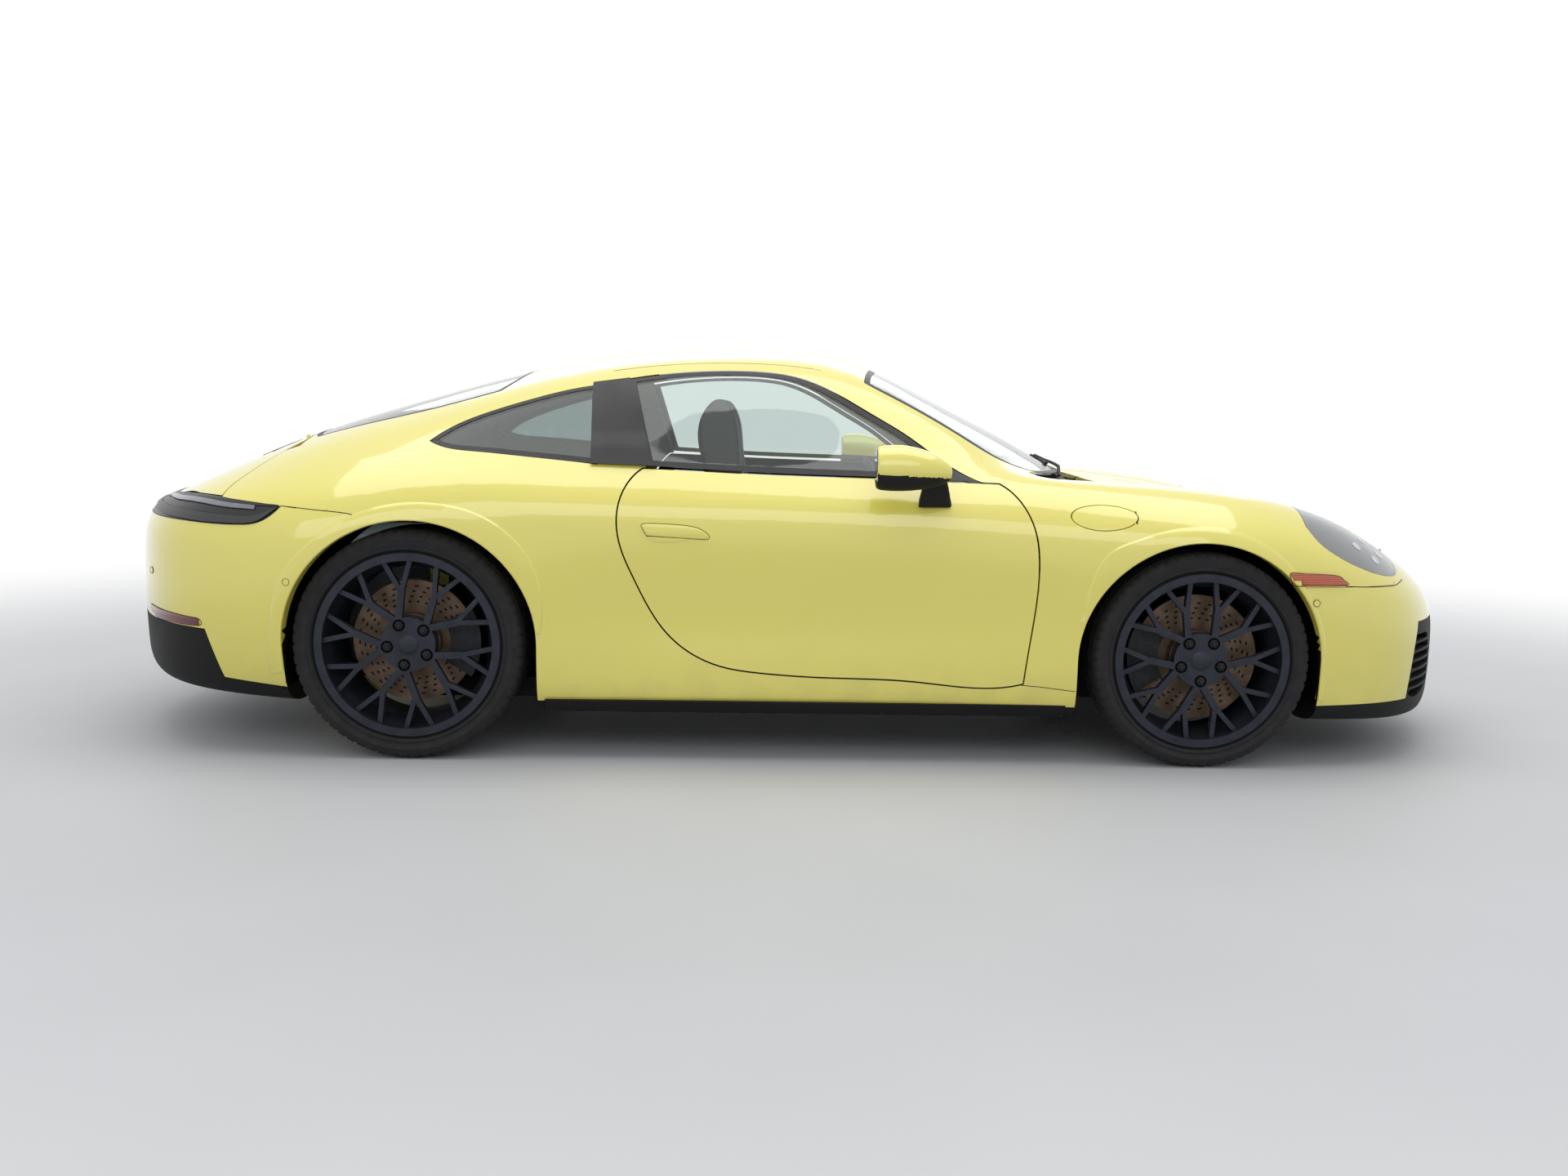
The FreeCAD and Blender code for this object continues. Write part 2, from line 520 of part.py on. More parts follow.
# Lamps, bumpers and fenders: the outer layer of the body, split where the panels meet
lamp_x0 = 1560.0
headlamp_tool = prism(front_outline(headlamp_shares), "X", lamp_x0, half_length)
headlamp_r = biggest(layer.common(mirrored(headlamp_tool)))
headlamp_tools = both(headlamp_tool)
apron_tool = prism(side_outline(rear_apron_shares), "Y", -wide, wide)
nose_tool = prism(side_outline(front_bumper_shares), "Y", -wide, wide)
nose_x = front_bumper_shares[0][0][0] * half_length
tail_bumper_tool = prism(side_outline(rear_bumper_shares), "Y", -wide, wide)
fender_inner_y = 430.0
fender_tool = prism(side_outline(fender_shares), "Y", -wide, -fender_inner_y)
lip_z = 200.0
intake_y0, intake_y1 = 520.0, 1200.0
lip_tool = box(0, half_length + overrun, -wide, wide, 0, lip_z)
intake_tool = prism(side_outline(front_intake_shares), "Y", -intake_y1, -intake_y0)

tail_layer = layer.common(box(-half_length, rear_axle_x, -wide, wide, 0, height))
nose_layer = layer.common(nose_tool).cut(both(front_arch["cut"]))
tail_lamp = tail_layer.common(tail_tool).cut(rear_lid_hole)
rear_apron = tail_layer.common(apron_tool).cut([bay] + both(rear_arch["cut"]))
rear_bumper = tail_layer.common(tail_bumper_tool).cut([tail_tool, apron_tool, bay] + both(rear_arch["cut"]))
intake_half, intake_z0, intake_z1 = 330.0, 216.0, 300.0
middle_tool = box(nose_x, half_length, -intake_half, intake_half, intake_z0, intake_z1)
intake_depth, slat_thick, slat_pitch, slat_count = 26.0, 9.0, 30.0, 7
slats = [box(nose_x, half_length, -wide, wide, z, z + slat_thick)
         for z in [intake_z0 + slat_thick + slat_pitch * k for k in range(slat_count)]]
side_mouth = prism(front_outline(side_mouth_shares), "X", nose_x, half_length)
middle_mouth = prism(front_outline(middle_mouth_shares), "X", nose_x, half_length)
mouths = fuse(middle_mouth, *both(side_mouth)).cut([even_skin(intake_depth)] + slats)
front_lip = nose_layer.common(fuse(lip_tool, middle_tool, *both(intake_tool))).cut(mouths)
front_bumper = nose_layer.cut([lip_tool, front_lid_hole, middle_tool] + both(intake_tool) + headlamp_tools)
fender_r = layer.common(fender_tool).cut(
    [nose_tool, front_lid_hole, tub, cabin, cowl_block, door_hole, windscreen_hole, front_arch["cut"],
     headlamp_tools[1]])

# Inner structure: floor, tub, wells and engine cradle
floor_z = 184.0
floor_foot_z = 136.0
inner_z = 205.0
inner_y = 600.0
post_x = 600.0
inner_front = core.common(box(post_x, half_length, -wide, wide, 0, rear_shelf_z)).cut(
    [cabin] + both(door_hole))
inner_rear = core.common(box(-half_length, rear_shelf_x - overrun, -wide, wide, 0, rear_shelf_z - overrun))
floor_x0, floor_x1 = rear_arch["x"], nose_x
floor_slab = outer.common(box(floor_x0, floor_x1, -wide, wide, 0, floor_z))
floor_rise = outer.common(box(floor_x0, floor_x1, -inner_y, inner_y, 0, inner_z))
spine = outer.common(box(post_x, half_length, -fender_inner_y, fender_inner_y, lid_z0, height)).cut(
    [cabin, front_lid_hole, cowl_block, windscreen_hole, nose_tool])
structure = fuse(inner_front, inner_rear, floor_slab, floor_rise, spine)
jack_radius, jack_depth, jack_y, jack_x = 11.0, 22.0, 690.0, (-700.0, 720.0)
jack_bores = [rod(jack_radius, V(x, y, 0), V(x, y, floor_foot_z + jack_depth))
              for x in jack_x for y in (-jack_y, jack_y)]
jack_pads = [rod(2 * jack_radius, V(x, y, floor_foot_z), V(x, y, floor_z))
             for x in jack_x for y in (-jack_y, jack_y)]
chassis = structure.fuse(jack_pads).cut(
    [tub, bay, nose_tool.common(layer), tail_tool.common(layer)] + arch_cuts + jack_bores)

body_shell = outer.cut(
    [cabin, inner_front, inner_rear, floor_slab, floor_rise, spine, tub, bay, nose_tool, tail_tool,
     apron_tool, tail_bumper_tool, windscreen_hole, rear_window_hole, front_lid_hole, rear_lid_hole, cowl_block]
    + arch_cuts + both(fender_tool) + both(door_hole) + both(door_window_hole) + both(quarter_hole))

# Door hinge: a pin in a pocket of the door, held by an arm that curls in from the body
hinge_x, hinge_y = 650.0, -884.0
hinge_z0, hinge_z1 = 612.0, 718.0
hinge_gap = 3.0
pin_radius = 3.5
eye_radius = 6.0
arm_reach = 60.0
arm_thick = 10.0
arm_x1 = 745.0
pocket_lip = 7.0
pocket = box(hinge_x - arm_thick, arm_x1, hinge_y - pocket_lip, hinge_y + 2 * arm_reach + overrun,
             hinge_z0, hinge_z1)
hinge_pin = rod(pin_radius, V(hinge_x, hinge_y, hinge_z0 - hinge_gap),
                V(hinge_x, hinge_y, hinge_z1 + hinge_gap))
door = biggest(door.cut(pocket).fuse(hinge_pin))
arm_z0, arm_z1 = hinge_z0 + hinge_gap, hinge_z1 - hinge_gap
arm_y = hinge_y + arm_reach
half_arm = arm_thick / 2
hinge_arm = fuse(
    rod(eye_radius, V(hinge_x, hinge_y, arm_z0), V(hinge_x, hinge_y, arm_z1)),
    box(hinge_x - half_arm, hinge_x + half_arm, hinge_y, arm_y + half_arm, arm_z0, arm_z1),
    box(hinge_x - half_arm, arm_x1, arm_y - half_arm, arm_y + half_arm, arm_z0, arm_z1),
).cut(rod(pin_radius + pin_gap, V(hinge_x, hinge_y, 0), V(hinge_x, hinge_y, height)))


def surface_point(x, y=None, z=None):
    """Where a straight probe along Y or Z leaves the skin on the right side or the top."""
    if y is None:
        probe = Part.makeLine(V(x, -wide, z), V(x, 0, z)).common(outer)
        return probe.BoundBox.YMin
    probe = Part.makeLine(V(x, y, z or floor_z + overrun), V(x, y, height + overrun)).common(outer)
    return probe.BoundBox.ZMax


# Lid hinges: a pin in two lugs of the lid, between lugs of the body
lug_thick = 12.0
lug_radius = 8.0
lid_pin_radius = 4.0
lid_pin_drop = 8.0
lug_leg = 34.0
lug_depth = 22.0
lug_gap = 1.0
lid_hinges = {
    "front": {"x": 957.0, "y": (140.0, 240.0), "way": -1},
    "rear": {"x": -1668.0, "y": (140.0, 300.0), "way": 1},
}
lid_pins, lid_lugs, lid_slots = {}, {}, {}
for name, h in lid_hinges.items():
    y0, y1 = h["y"]
    h["z"] = surface_point(h["x"], y=(y0 + y1) / 2) - lid_pin_drop
    at = V(h["x"], 0, h["z"])
    lid_pins[name] = rod(lid_pin_radius, at + V(0, y0 - lug_thick, 0), at + V(0, y1 + lug_thick, 0))
    lugs, slots = [], []
    for y in (y0, y1):
        a, b = y - lug_thick / 2, y + lug_thick / 2
        ring = rod(lug_radius, at + V(0, a, 0), at + V(0, b, 0))
        x_far = h["x"] + h["way"] * lug_leg
        leg = box(min(h["x"], x_far), max(h["x"], x_far), a, b, h["z"] - lug_depth, h["z"])
        bore = rod(lid_pin_radius + pin_gap, at + V(0, a - lug_gap, 0), at + V(0, b + lug_gap, 0))
        lugs.append(fuse(ring, leg).cut(bore))
        slot_ring = rod(lug_radius + shut_gap, at + V(0, a - lug_gap, 0), at + V(0, b + lug_gap, 0))
        leg_room = box(min(h["x"], x_far), max(h["x"], x_far), a - lug_gap, b + lug_gap,
                       h["z"] - 2 * lug_depth, h["z"] + 3 * lug_radius)
        slots.append(fuse(slot_ring, leg_room))
    lid_lugs[name], lid_slots[name] = lugs, slots


def hinged_lid(lid, name):
    """Slots for the body's lugs, and the pin seated in the lid."""
    slots = lid_slots[name] + [mirrored(s) for s in lid_slots[name]]
    pins = both(lid_pins[name])
    return biggest(lid.cut(slots).fuse(pins))


front_lid = hinged_lid(front_lid, "front")
grille_x0, grille_x1, grille_y, grille_depth = -1800.0, -1705.0, 380.0, 13.0
louvre_count, louvre_share = 19, 0.62
louvre_pitch = 2 * grille_y / louvre_count
louvres = [box(grille_x0, grille_x1, y, y + louvre_pitch * louvre_share, rear_lid_z0, height)
           for y in [-grille_y + louvre_pitch * (k + (1 - louvre_share) / 2) for k in range(louvre_count)]]
grille_floor = even_skin(grille_depth)
rear_lid = hinged_lid(rear_lid.cut([louvre.cut(grille_floor) for louvre in louvres]), "rear")
trench_half, side_trench_y = 450.0, 537.5
rear_trench = box(lid_hinges["rear"]["x"] - lug_leg, lid_hinges["rear"]["x"] + lug_leg / 2 + 2 * lug_gap,
                  -trench_half, trench_half, 0, height)
side_trench = box(lid_hinges["rear"]["x"] - lug_leg, lid_hinges["rear"]["x"] + lug_leg + shut_gap,
                  lid_hinges["rear"]["y"][1] + lug_leg, side_trench_y, 0, height)
rear_trench = fuse(rear_trench, *both(side_trench)).cut(even_skin(cowl_depth))

# Fuel flap in the right front fender, with a pin near its front edge
flap_x, flap_z = 915.0, 779.0
flap_rx, flap_rz = 103.0, 57.0
flap_thick = 10.0
flap_cup_depth = 45.0
flap_pin_x = 1008.0
flap_pin_radius = 2.5
flap_pin_drop = 4.5
flap_pin_half = 32.0
flap_gap = 4.0
flap_relief_radius = 8.0
flap_relief_half = 24.0


def flap_prism(grow):
    """Oval prism that runs the way the flap swings out."""
    ring = Part.Ellipse(V(0, 0, 0), flap_rx + grow, flap_rz + grow).toShape()
    face = Part.Face(Part.Wire([ring]))
    face.rotate(V(0, 0, 0), V(1, 0, 0), 90)
    face.translate(V(flap_x, surface_point(flap_x, z=flap_z), flap_z) - flap_out * 2 * overrun)
    return face.extrude(flap_out * 4 * overrun)


probe_z = 20.0
low_y = surface_point(flap_pin_x, z=flap_z - probe_z)
high_y = surface_point(flap_pin_x, z=flap_z + probe_z)
flap_axis = V(0, high_y - low_y, 2 * probe_z).normalize()
flap_out = V(0, -flap_axis.z, flap_axis.y)
flap_pin_at = V(flap_pin_x, surface_point(flap_pin_x, z=flap_z), flap_z) - flap_out * flap_pin_drop


def flap_rod(radius, half):
    """Round bar on the flap's hinge axis."""
    return rod(radius, flap_pin_at - flap_axis * half, flap_pin_at + flap_axis * half)


flap_pin = flap_rod(flap_pin_radius, flap_pin_half)
flap_bore = flap_rod(flap_pin_radius + pin_gap, overrun)
flap_relief = flap_rod(flap_relief_radius, flap_relief_half)
fuel_flap = biggest(outer.cut(even_skin(flap_thick)).common(flap_prism(-flap_gap / 2)).cut(flap_bore))
flap_cup = flap_prism(flap_gap / 2).cut(even_skin(flap_cup_depth))
fender_l = mirrored(fender_r)
fender_r = biggest(fender_r.cut([flap_cup, flap_relief]).fuse(flap_pin.cut(fuel_flap)))
fender_l = biggest(fender_l)

cowl = biggest(cowl.cut(lid_slots["front"] + [mirrored(s) for s in lid_slots["front"]]).fuse(
    [s for lug in lid_lugs["front"] for s in both(lug.cut(prism(lid_runs, "Z", 0, height, -overrun)))]))
body_shell = biggest(body_shell.cut(rear_trench))
chassis = biggest(chassis.fuse(both(hinge_arm)))
body_shell = biggest(body_shell.fuse([s for lug in lid_lugs["rear"] for s in both(lug)]))


# Wheels: every part is turned about the axle, w runs outwards from the car's middle
def turned(profile, axle_x, axle_z):
    """Ring from a closed profile of (radius, w), on the right side of the car."""
    points = [V(axle_x, -w, axle_z + r) for r, w in profile]
    face = Part.Face(Part.makePolygon(points + [points[0]]))
    return face.revolve(V(axle_x, 0, axle_z), V(0, 1, 0), 360)


wheels = {
    "front": {
        "x": front_axle_x, "radius": front_wheel_radius, "y": front_tyre_y, "tyre": 245.0,
        "rim": 254.0, "flange": 271.5, "hub_y": 823.0, "disc": 196.0, "disc_y": 752.0,
        "fork_angle": 127.0, "caliper": 180.0,
    },
    "rear": {
        "x": rear_axle_x, "radius": rear_wheel_radius, "y": rear_tyre_y, "tyre": 303.0,
        "rim": 266.7, "flange": 284.0, "hub_y": 812.0, "disc": 190.0, "disc_y": 742.0,
        "fork_angle": 115.0, "caliper": 0.0,
    },
}
rim_wall = 7.0
rim_inset = 14.0
bead_width = 22.0
well_drop = 22.0
disc_thick = 34.0
bell_radius = 88.0
bell_wall = 8.0
hub_radius = 84.0
hub_thick = 28.0
spindle_radius = 30.0
spindle_length = 70.0
tyre_wall = 12.0
shoulder = 26.0
bolt_count = 5
fork_spread, prong_spread = 18.0, 9.0
root_share, fork_share = 0.27, 0.62
stem_width, prong_width = 21.0, 15.0
spoke_depth = 24.0
face_inset = 10.0


def make_tyre(w):
    y, half, top = w["y"], w["tyre"] / 2, w["radius"]
    bead, mid = w["rim"] + running_gap, (w["rim"] + w["radius"]) / 2
    seat = half - rim_inset - running_gap
    over = w["flange"] + rim_wall / 2
    rise, bulge = shoulder / 3, shoulder / 2
    out = [
        (bead, -seat), (over, -seat), (over + rim_wall / 2, -seat - rim_wall), (mid, -half),
        (top - shoulder, -half + rise / 3), (top - rise, -half + bulge),
        (top - rise / 3, -half + shoulder * 1.3),
        (top, -half / 3),
    ]
    inner = [
        (top - tyre_wall, -half / 2), (top - shoulder - rise, -half + tyre_wall * 1.5),
        (mid, -half + tyre_wall), (over, -seat + tyre_wall), (bead, -seat + bead_width / 1.3),
    ]
    ring = out + [(r, -s) for r, s in out[::-1]] + [(r, -s) for r, s in inner[::-1]] + inner
    return turned([(r, y + s) for r, s in ring], w["x"], w["radius"])


def make_rim(w):
    y, seat, flange = w["y"], w["rim"], w["flange"]
    edge = w["tyre"] / 2 - rim_inset
    tip = edge + rim_wall
    out = [
        (flange, -tip), (flange, -edge), (seat, -edge), (seat, -edge + bead_width),
        (seat - well_drop, -edge + 2 * bead_width), (seat - well_drop, edge - 3 * bead_width),
        (seat, edge - bead_width), (seat, edge), (flange, edge), (flange, tip),
    ]
    back = [
        (seat - rim_wall, tip), (seat - rim_wall, edge - bead_width),
        (seat - well_drop - rim_wall, edge - 3 * bead_width),
        (seat - well_drop - rim_wall, -edge + 2 * bead_width),
        (seat - rim_wall, -edge + bead_width), (seat - rim_wall, -tip),
    ]
    barrel = turned([(r, y + s) for r, s in out + back], w["x"], w["radius"])
    face_y = y + edge - face_inset
    middle = V(w["x"], -face_y, w["radius"])
    hub = rod(hub_radius, V(w["x"], -w["hub_y"], w["radius"]), middle)
    reach = seat - rim_wall / 2
    bars = []
    for k in range(bolt_count):
        bolt_angle = w["fork_angle"] + k * 360 / bolt_count
        for side in (-1, 1):
            fork_angle = bolt_angle + side * fork_spread
            knee = (fork_share * reach, fork_angle)
            bars.append((root_share * reach, bolt_angle, *knee, stem_width))
            for prong_angle in (fork_angle - prong_spread, fork_angle + prong_spread):
                bars.append((*knee, reach, prong_angle, prong_width))
    spokes = [spoke_bar(*bar, w, middle) for bar in bars]
    return fuse(barrel, hub, *spokes)


def spoke_bar(start, start_angle, end, end_angle, width, w, middle):
    """Flat bar on the wheel's face between two points given as radius and angle."""
    ends = [V(r * math.cos(math.radians(t)), 0, r * math.sin(math.radians(t)))
            for r, t in ((start, start_angle), (end, end_angle))]
    along = (ends[1] - ends[0]).normalize()
    aside = V(-along.z, 0, along.x) * (width / 2)
    tail = along * (width / 3)
    corners = [ends[0] - tail + aside, ends[0] - tail - aside, ends[1] + tail - aside, ends[1] + tail + aside]
    if end > w["rim"] - 2 * rim_wall:
        corners[2:] = [ends[1] - aside, ends[1] + aside]
    face = Part.Face(Part.makePolygon(corners + [corners[0]]))
    bar = face.extrude(V(0, spoke_depth, 0))
    bar.translate(middle)
    return bar


def make_disc(w):
    bell_back = w["disc_y"] + disc_thick / 2
    face = w["hub_y"]
    back = w["disc_y"]
    profile = [
        (spindle_radius * 2, face), (bell_radius, face), (bell_radius, back + disc_thick),
        (w["disc"], back + disc_thick), (w["disc"], back), (bell_radius - bell_wall, back),
        (bell_radius - bell_wall, face - bell_wall), (spindle_radius * 2, face - bell_wall),
    ]
    bell = turned(profile, w["x"], w["radius"])
    hub = rod(spindle_radius * 2, V(w["x"], -face, w["radius"]), V(w["x"], -back, w["radius"]))
    spindle = rod(spindle_radius, V(w["x"], -back, w["radius"]),
                  V(w["x"], -back + spindle_length, w["radius"]))
    return fuse(bell, hub, spindle)


# Hub carriers with their calipers
carrier_radius = 56.0
carrier_length = 52.0
post_radius = 17.0
joint_height = 140.0
ball_radius = 20.0
ball_height = 26.0
caliper_angle = 62.0
caliper_wall = 26.0
caliper_gap = 4.0


hat_share = 0.62
caliper_over = 22.0


def make_caliper(w):
    back = w["disc_y"] - caliper_wall
    front = w["disc_y"] + disc_thick + caliper_wall
    r0, r1 = w["disc"] * hat_share, w["disc"] + caliper_over
    slot0, slot1 = w["disc_y"] - caliper_gap, w["disc_y"] + disc_thick + caliper_gap
    ring = [(r0, back), (r1, back), (r1, front), (r0, front), (r0, slot1), (w["disc"] + caliper_gap, slot1),
            (w["disc"] + caliper_gap, slot0), (r0, slot0)]
    points = [V(0, -s, r) for r, s in ring]
    face = Part.Face(Part.makePolygon(points + [points[0]]))
    face.rotate(V(0, 0, 0), V(0, 1, 0), 90 - w["caliper"] - caliper_angle / 2)
    solid = face.revolve(V(0, 0, 0), V(0, 1, 0), caliper_angle)
    solid.translate(V(w["x"], 0, w["radius"]))
    return solid


def make_carrier(w, post_y):
    z, x, back = w["radius"], w["x"], w["disc_y"]
    body = rod(carrier_radius, V(x, -back + caliper_gap, z), V(x, -back + carrier_length, z))
    post = rod(post_radius, V(x, -post_y, z - joint_height + ball_height / 2 + running_gap),
               V(x, -post_y, z + joint_height - ball_height / 2 - running_gap))
    side = 1 if w["caliper"] < 90 else -1
    ear_x0, ear_x1 = x, x + side * (w["disc"] * hat_share + caliper_wall)
    ear = box(min(ear_x0, ear_x1), max(ear_x0, ear_x1), -back + caliper_gap, -back + caliper_wall,
              z - post_radius, z + post_radius)
    bore = rod(spindle_radius + running_gap, V(x, -back, z), V(x, -back + 2 * spindle_length, z))
    return fuse(body, post, ear, make_caliper(w)).cut(bore)


def make_arms(w, post_y, inner_y):
    """Upper and lower wishbone, each with a ball at the post's end."""
    solids = []
    for side, spread, thick in ((-1, 150.0, 24.0), (1, 90.0, 18.0)):
        z = w["radius"] + side * joint_height
        ball = rod(ball_radius, V(w["x"], -post_y, z - ball_height / 2),
                   V(w["x"], -post_y, z + ball_height / 2))
        points = [
            V(w["x"] - spread, -inner_y, z - thick / 2), V(w["x"] + spread, -inner_y, z - thick / 2),
            V(w["x"] + ball_radius, -post_y, z - thick / 2), V(w["x"] - ball_radius, -post_y, z - thick / 2),
        ]
        arm = Part.Face(Part.makePolygon(points + [points[0]])).extrude(V(0, 0, thick))
        hole = [
            V(w["x"] - spread / 2, -inner_y - overrun, z - thick),
            V(w["x"] + spread / 2, -inner_y - overrun, z - thick),
            V(w["x"], -post_y + overrun, z - thick),
        ]
        if post_y - inner_y > 3 * overrun:
            arm = arm.cut(Part.Face(Part.makePolygon(hole + [hole[0]])).extrude(V(0, 0, 2 * thick)))
        solids.append(fuse(arm, ball))
    return solids


front, rear = wheels["front"], wheels["rear"]
rear_post_y = rear["disc_y"] - carrier_length / 2
knuckle_r = make_carrier(front, kingpin_y)
front_arms = make_arms(front, kingpin_y, front_arch["inner_y"])
rear_arms = make_arms(rear, rear_post_y, rear_arch["inner_y"])
rear_carrier = make_carrier(rear, rear_post_y)
front_suspension = front_arms[0].fuse([front_arms[1]] + [mirrored(a) for a in front_arms])
rear_right = fuse(rear_carrier, *rear_arms)
rear_suspension = Part.makeCompound(both(rear_right))

# Door mirrors: a rounded shell, flat at the glass, on a foot that stands on the door
mirror_x0, mirror_x1 = 203.0, 440.0
mirror_y, mirror_z = -948.0, 922.0
mirror_half_y, mirror_half_z = 63.0, 69.0
mirror_shares = [(0.0, 0.93, 0.0), (0.12, 0.99, 0.0), (0.35, 1.0, 0.0),
                 (0.62, 0.86, -0.05), (0.85, 0.58, -0.12),
                 (0.97, 0.28, -0.18)]
foot_x0, foot_x1 = 340.0, 448.0
foot_y, foot_z = -858.0, 800.0
foot_half_y, foot_share = 26.0, 0.6


def oval(x, y, z, half_y, half_z):
    long_first = half_y > half_z
    ring = Part.Ellipse(V(0, 0, 0), max(half_y, half_z), min(half_y, half_z)).toShape()
    if not long_first:
        ring.rotate(V(0, 0, 0), V(0, 0, 1), 90)
    ring.rotate(V(0, 0, 0), V(0, 1, 0), 90)
    ring.rotate(V(0, 0, 0), V(1, 0, 0), 90)
    ring.translate(V(x, y, z))
    return Part.Wire([ring])


def ring_at(x0, x1, y, z, half_y):
    points = [V(x0, y - half_y, z), V(x1, y - half_y * foot_share, z), V(x1, y + half_y * foot_share, z),
              V(x0, y + half_y, z)]
    return Part.makePolygon(points + [points[0]])


housing = Part.makeLoft([
    oval(mirror_x0 + a * (mirror_x1 - mirror_x0), mirror_y, mirror_z + c * mirror_half_z,
         s * mirror_half_y, s * mirror_half_z) for a, s, c in mirror_shares], True)
foot = Part.makeLoft([
    ring_at(foot_x0, foot_x1, foot_y, foot_z, foot_half_y),
    ring_at(foot_x0 + foot_half_y / 2, foot_x1 - foot_half_y, mirror_y + foot_half_y, mirror_z - foot_half_y,
            foot_half_y * foot_share),
], True)
mirror = biggest(fuse(housing, foot.cut(outer)))

# Cabin fittings
seat_y, seat_width = 372.0, 490.0
seat_x, seat_top_z, seat_round = -20.0, 1120.0, 34.0
seat_length = 760.0
inner_floor_z = inner_z
seat_profile_shares = [
    (0.50, 0.10), (0.49, 0.19), (0.38, 0.235), (0.08, 0.20), (-0.06, 0.24), (-0.17, 0.50), (-0.25, 0.80),
    (-0.28, 0.95), (-0.33, 1.0), (-0.40, 0.95), (-0.385, 0.75), (-0.30, 0.45), (-0.23, 0.16), (-0.16, 0.08),
    (0.42, 0.08),
]
seat_rise = seat_top_z - inner_floor_z


def cushion(profile_shares, x, unit, rise, y, width, rounding):
    spots = [V(x + a * unit, y - width / 2, inner_floor_z + b * rise) for a, b in profile_shares]
    curve = Part.BSplineCurve()
    curve.interpolate(spots, PeriodicFlag=True)
    return Part.Face(Part.Wire([curve.toShape()])).extrude(V(0, width, 0))


seat_pad = cushion(seat_profile_shares, seat_x, seat_length, seat_rise, -seat_y, seat_width, seat_round)
seat_base = box(seat_x - seat_length / 8, seat_x + seat_length / 3, -seat_y - seat_width / 3,
                -seat_y + seat_width / 3, inner_floor_z, inner_floor_z + seat_rise / 9)
seat_r = fuse(seat_pad, seat_base)
rear_seat_profile_shares = [
    (0.42, 0.04), (0.46, 0.14), (0.36, 0.28), (0.05, 0.27), (-0.10, 0.34), (-0.22, 0.62), (-0.32, 0.94),
    (-0.40, 1.0), (-0.46, 0.94), (-0.46, 0.5), (-0.44, 0.14), (-0.36, 0.07), (0.30, 0.07),
]
rear_seat_x, rear_seat_length, rear_seat_top_z = -850.0, 560.0, 800.0
rear_seat_y, rear_seat_width = 300.0, 430.0
rear_seat_r = cushion(rear_seat_profile_shares, rear_seat_x, rear_seat_length,
                      rear_seat_top_z - inner_floor_z, -rear_seat_y, rear_seat_width, seat_round)
rear_base_half = 168.0
rear_seats = fuse(rear_seat_r, mirrored(rear_seat_r), box(
    rear_seat_x - rear_base_half, rear_seat_x + rear_base_half, -rear_seat_y - rear_seat_width / 3,
    rear_seat_y + rear_seat_width / 3, inner_floor_z, inner_floor_z + seat_round))
dash_y = 735.0
dash_x0, dash_x1 = 430.0, firewall_x
dash_z0, dash_z1 = 560.0, 858.0
dash_shares = [[(0.0, 0.72), (0.12, 0.92), (0.40, 1.0), (0.75, 0.97)], [(1.0, 0.90), (1.0, 0.0)],
               [(1.0, 0.0), (0.62, 0.0)], [(0.62, 0.0), (0.30, 0.20), (0.08, 0.50)]]
dash_runs = [[(dash_x0 + a * (dash_x1 - dash_x0), dash_z0 + b * (dash_z1 - dash_z0)) for a, b in run]
             for run in dash_shares]
dashboard = prism(dash_runs, "Y", -dash_y, dash_y).common(cabin)
console_x0, console_x1, console_y, console_z = -260.0, 560.0, 92.0, 470.0
console = box(console_x0, console_x1, -console_y, console_y, inner_floor_z, console_z)
console = console.makeFillet(
    seat_round / 2, [e for e in console.Edges if e.BoundBox.ZMin > inner_floor_z + 1])
wheel_at = V(338.0, 372.0, 735.0)
wheel_ring, wheel_grip = 176.0, 14.0
wheel_tilt = 68.0
wheel_hub, wheel_hub_thick = 52.0, 44.0
column_length = 210.0
wheel_spoke_share = 0.8
steering_wheel = fuse(
    Part.makeTorus(wheel_ring, wheel_grip),
    rod(wheel_hub, V(0, 0, -wheel_hub_thick / 2), V(0, 0, wheel_hub_thick / 2)),
    rod(wheel_hub / 2, V(0, 0, 0), V(0, 0, column_length)),
    *[rod(wheel_grip * wheel_spoke_share, V(0, 0, 0), V(wheel_ring * math.cos(a), wheel_ring * math.sin(a), 0))
      for a in (math.radians(0), math.radians(90), math.radians(270))])
steering_wheel.rotate(V(0, 0, 0), V(0, 1, 0), wheel_tilt)
steering_wheel.translate(wheel_at)
steering_wheel = biggest(steering_wheel.cut(dashboard))

# Engine, plain, and the two exhaust tips in the apron
engine = box(-1960.0, -1340.0, -335.0, 335.0, bay_z, 640.0)
engine = engine.makeChamfer(60.0, [e for e in engine.Edges if e.BoundBox.ZMin > bay_z + 1])
tip_y, tip_z, tip_radius, tip_wall, tip_x1 = 430.0, 292.0, 46.0, 3.5, -2110.0
tip_rod = rod(tip_radius, V(-half_length, -tip_y, tip_z), V(tip_x1, -tip_y, tip_z)).common(outer)
tip_bore = rod(tip_radius - tip_wall, V(-half_length, -tip_y, tip_z), V(tip_x1 - overrun / 2, -tip_y, tip_z))
tip = biggest(tip_rod.cut(tip_bore))
exhaust = Part.makeCompound(both(tip))
rear_apron = biggest(rear_apron.cut(both(tip_rod)))
chassis = biggest(chassis.cut(both(tip_rod)))

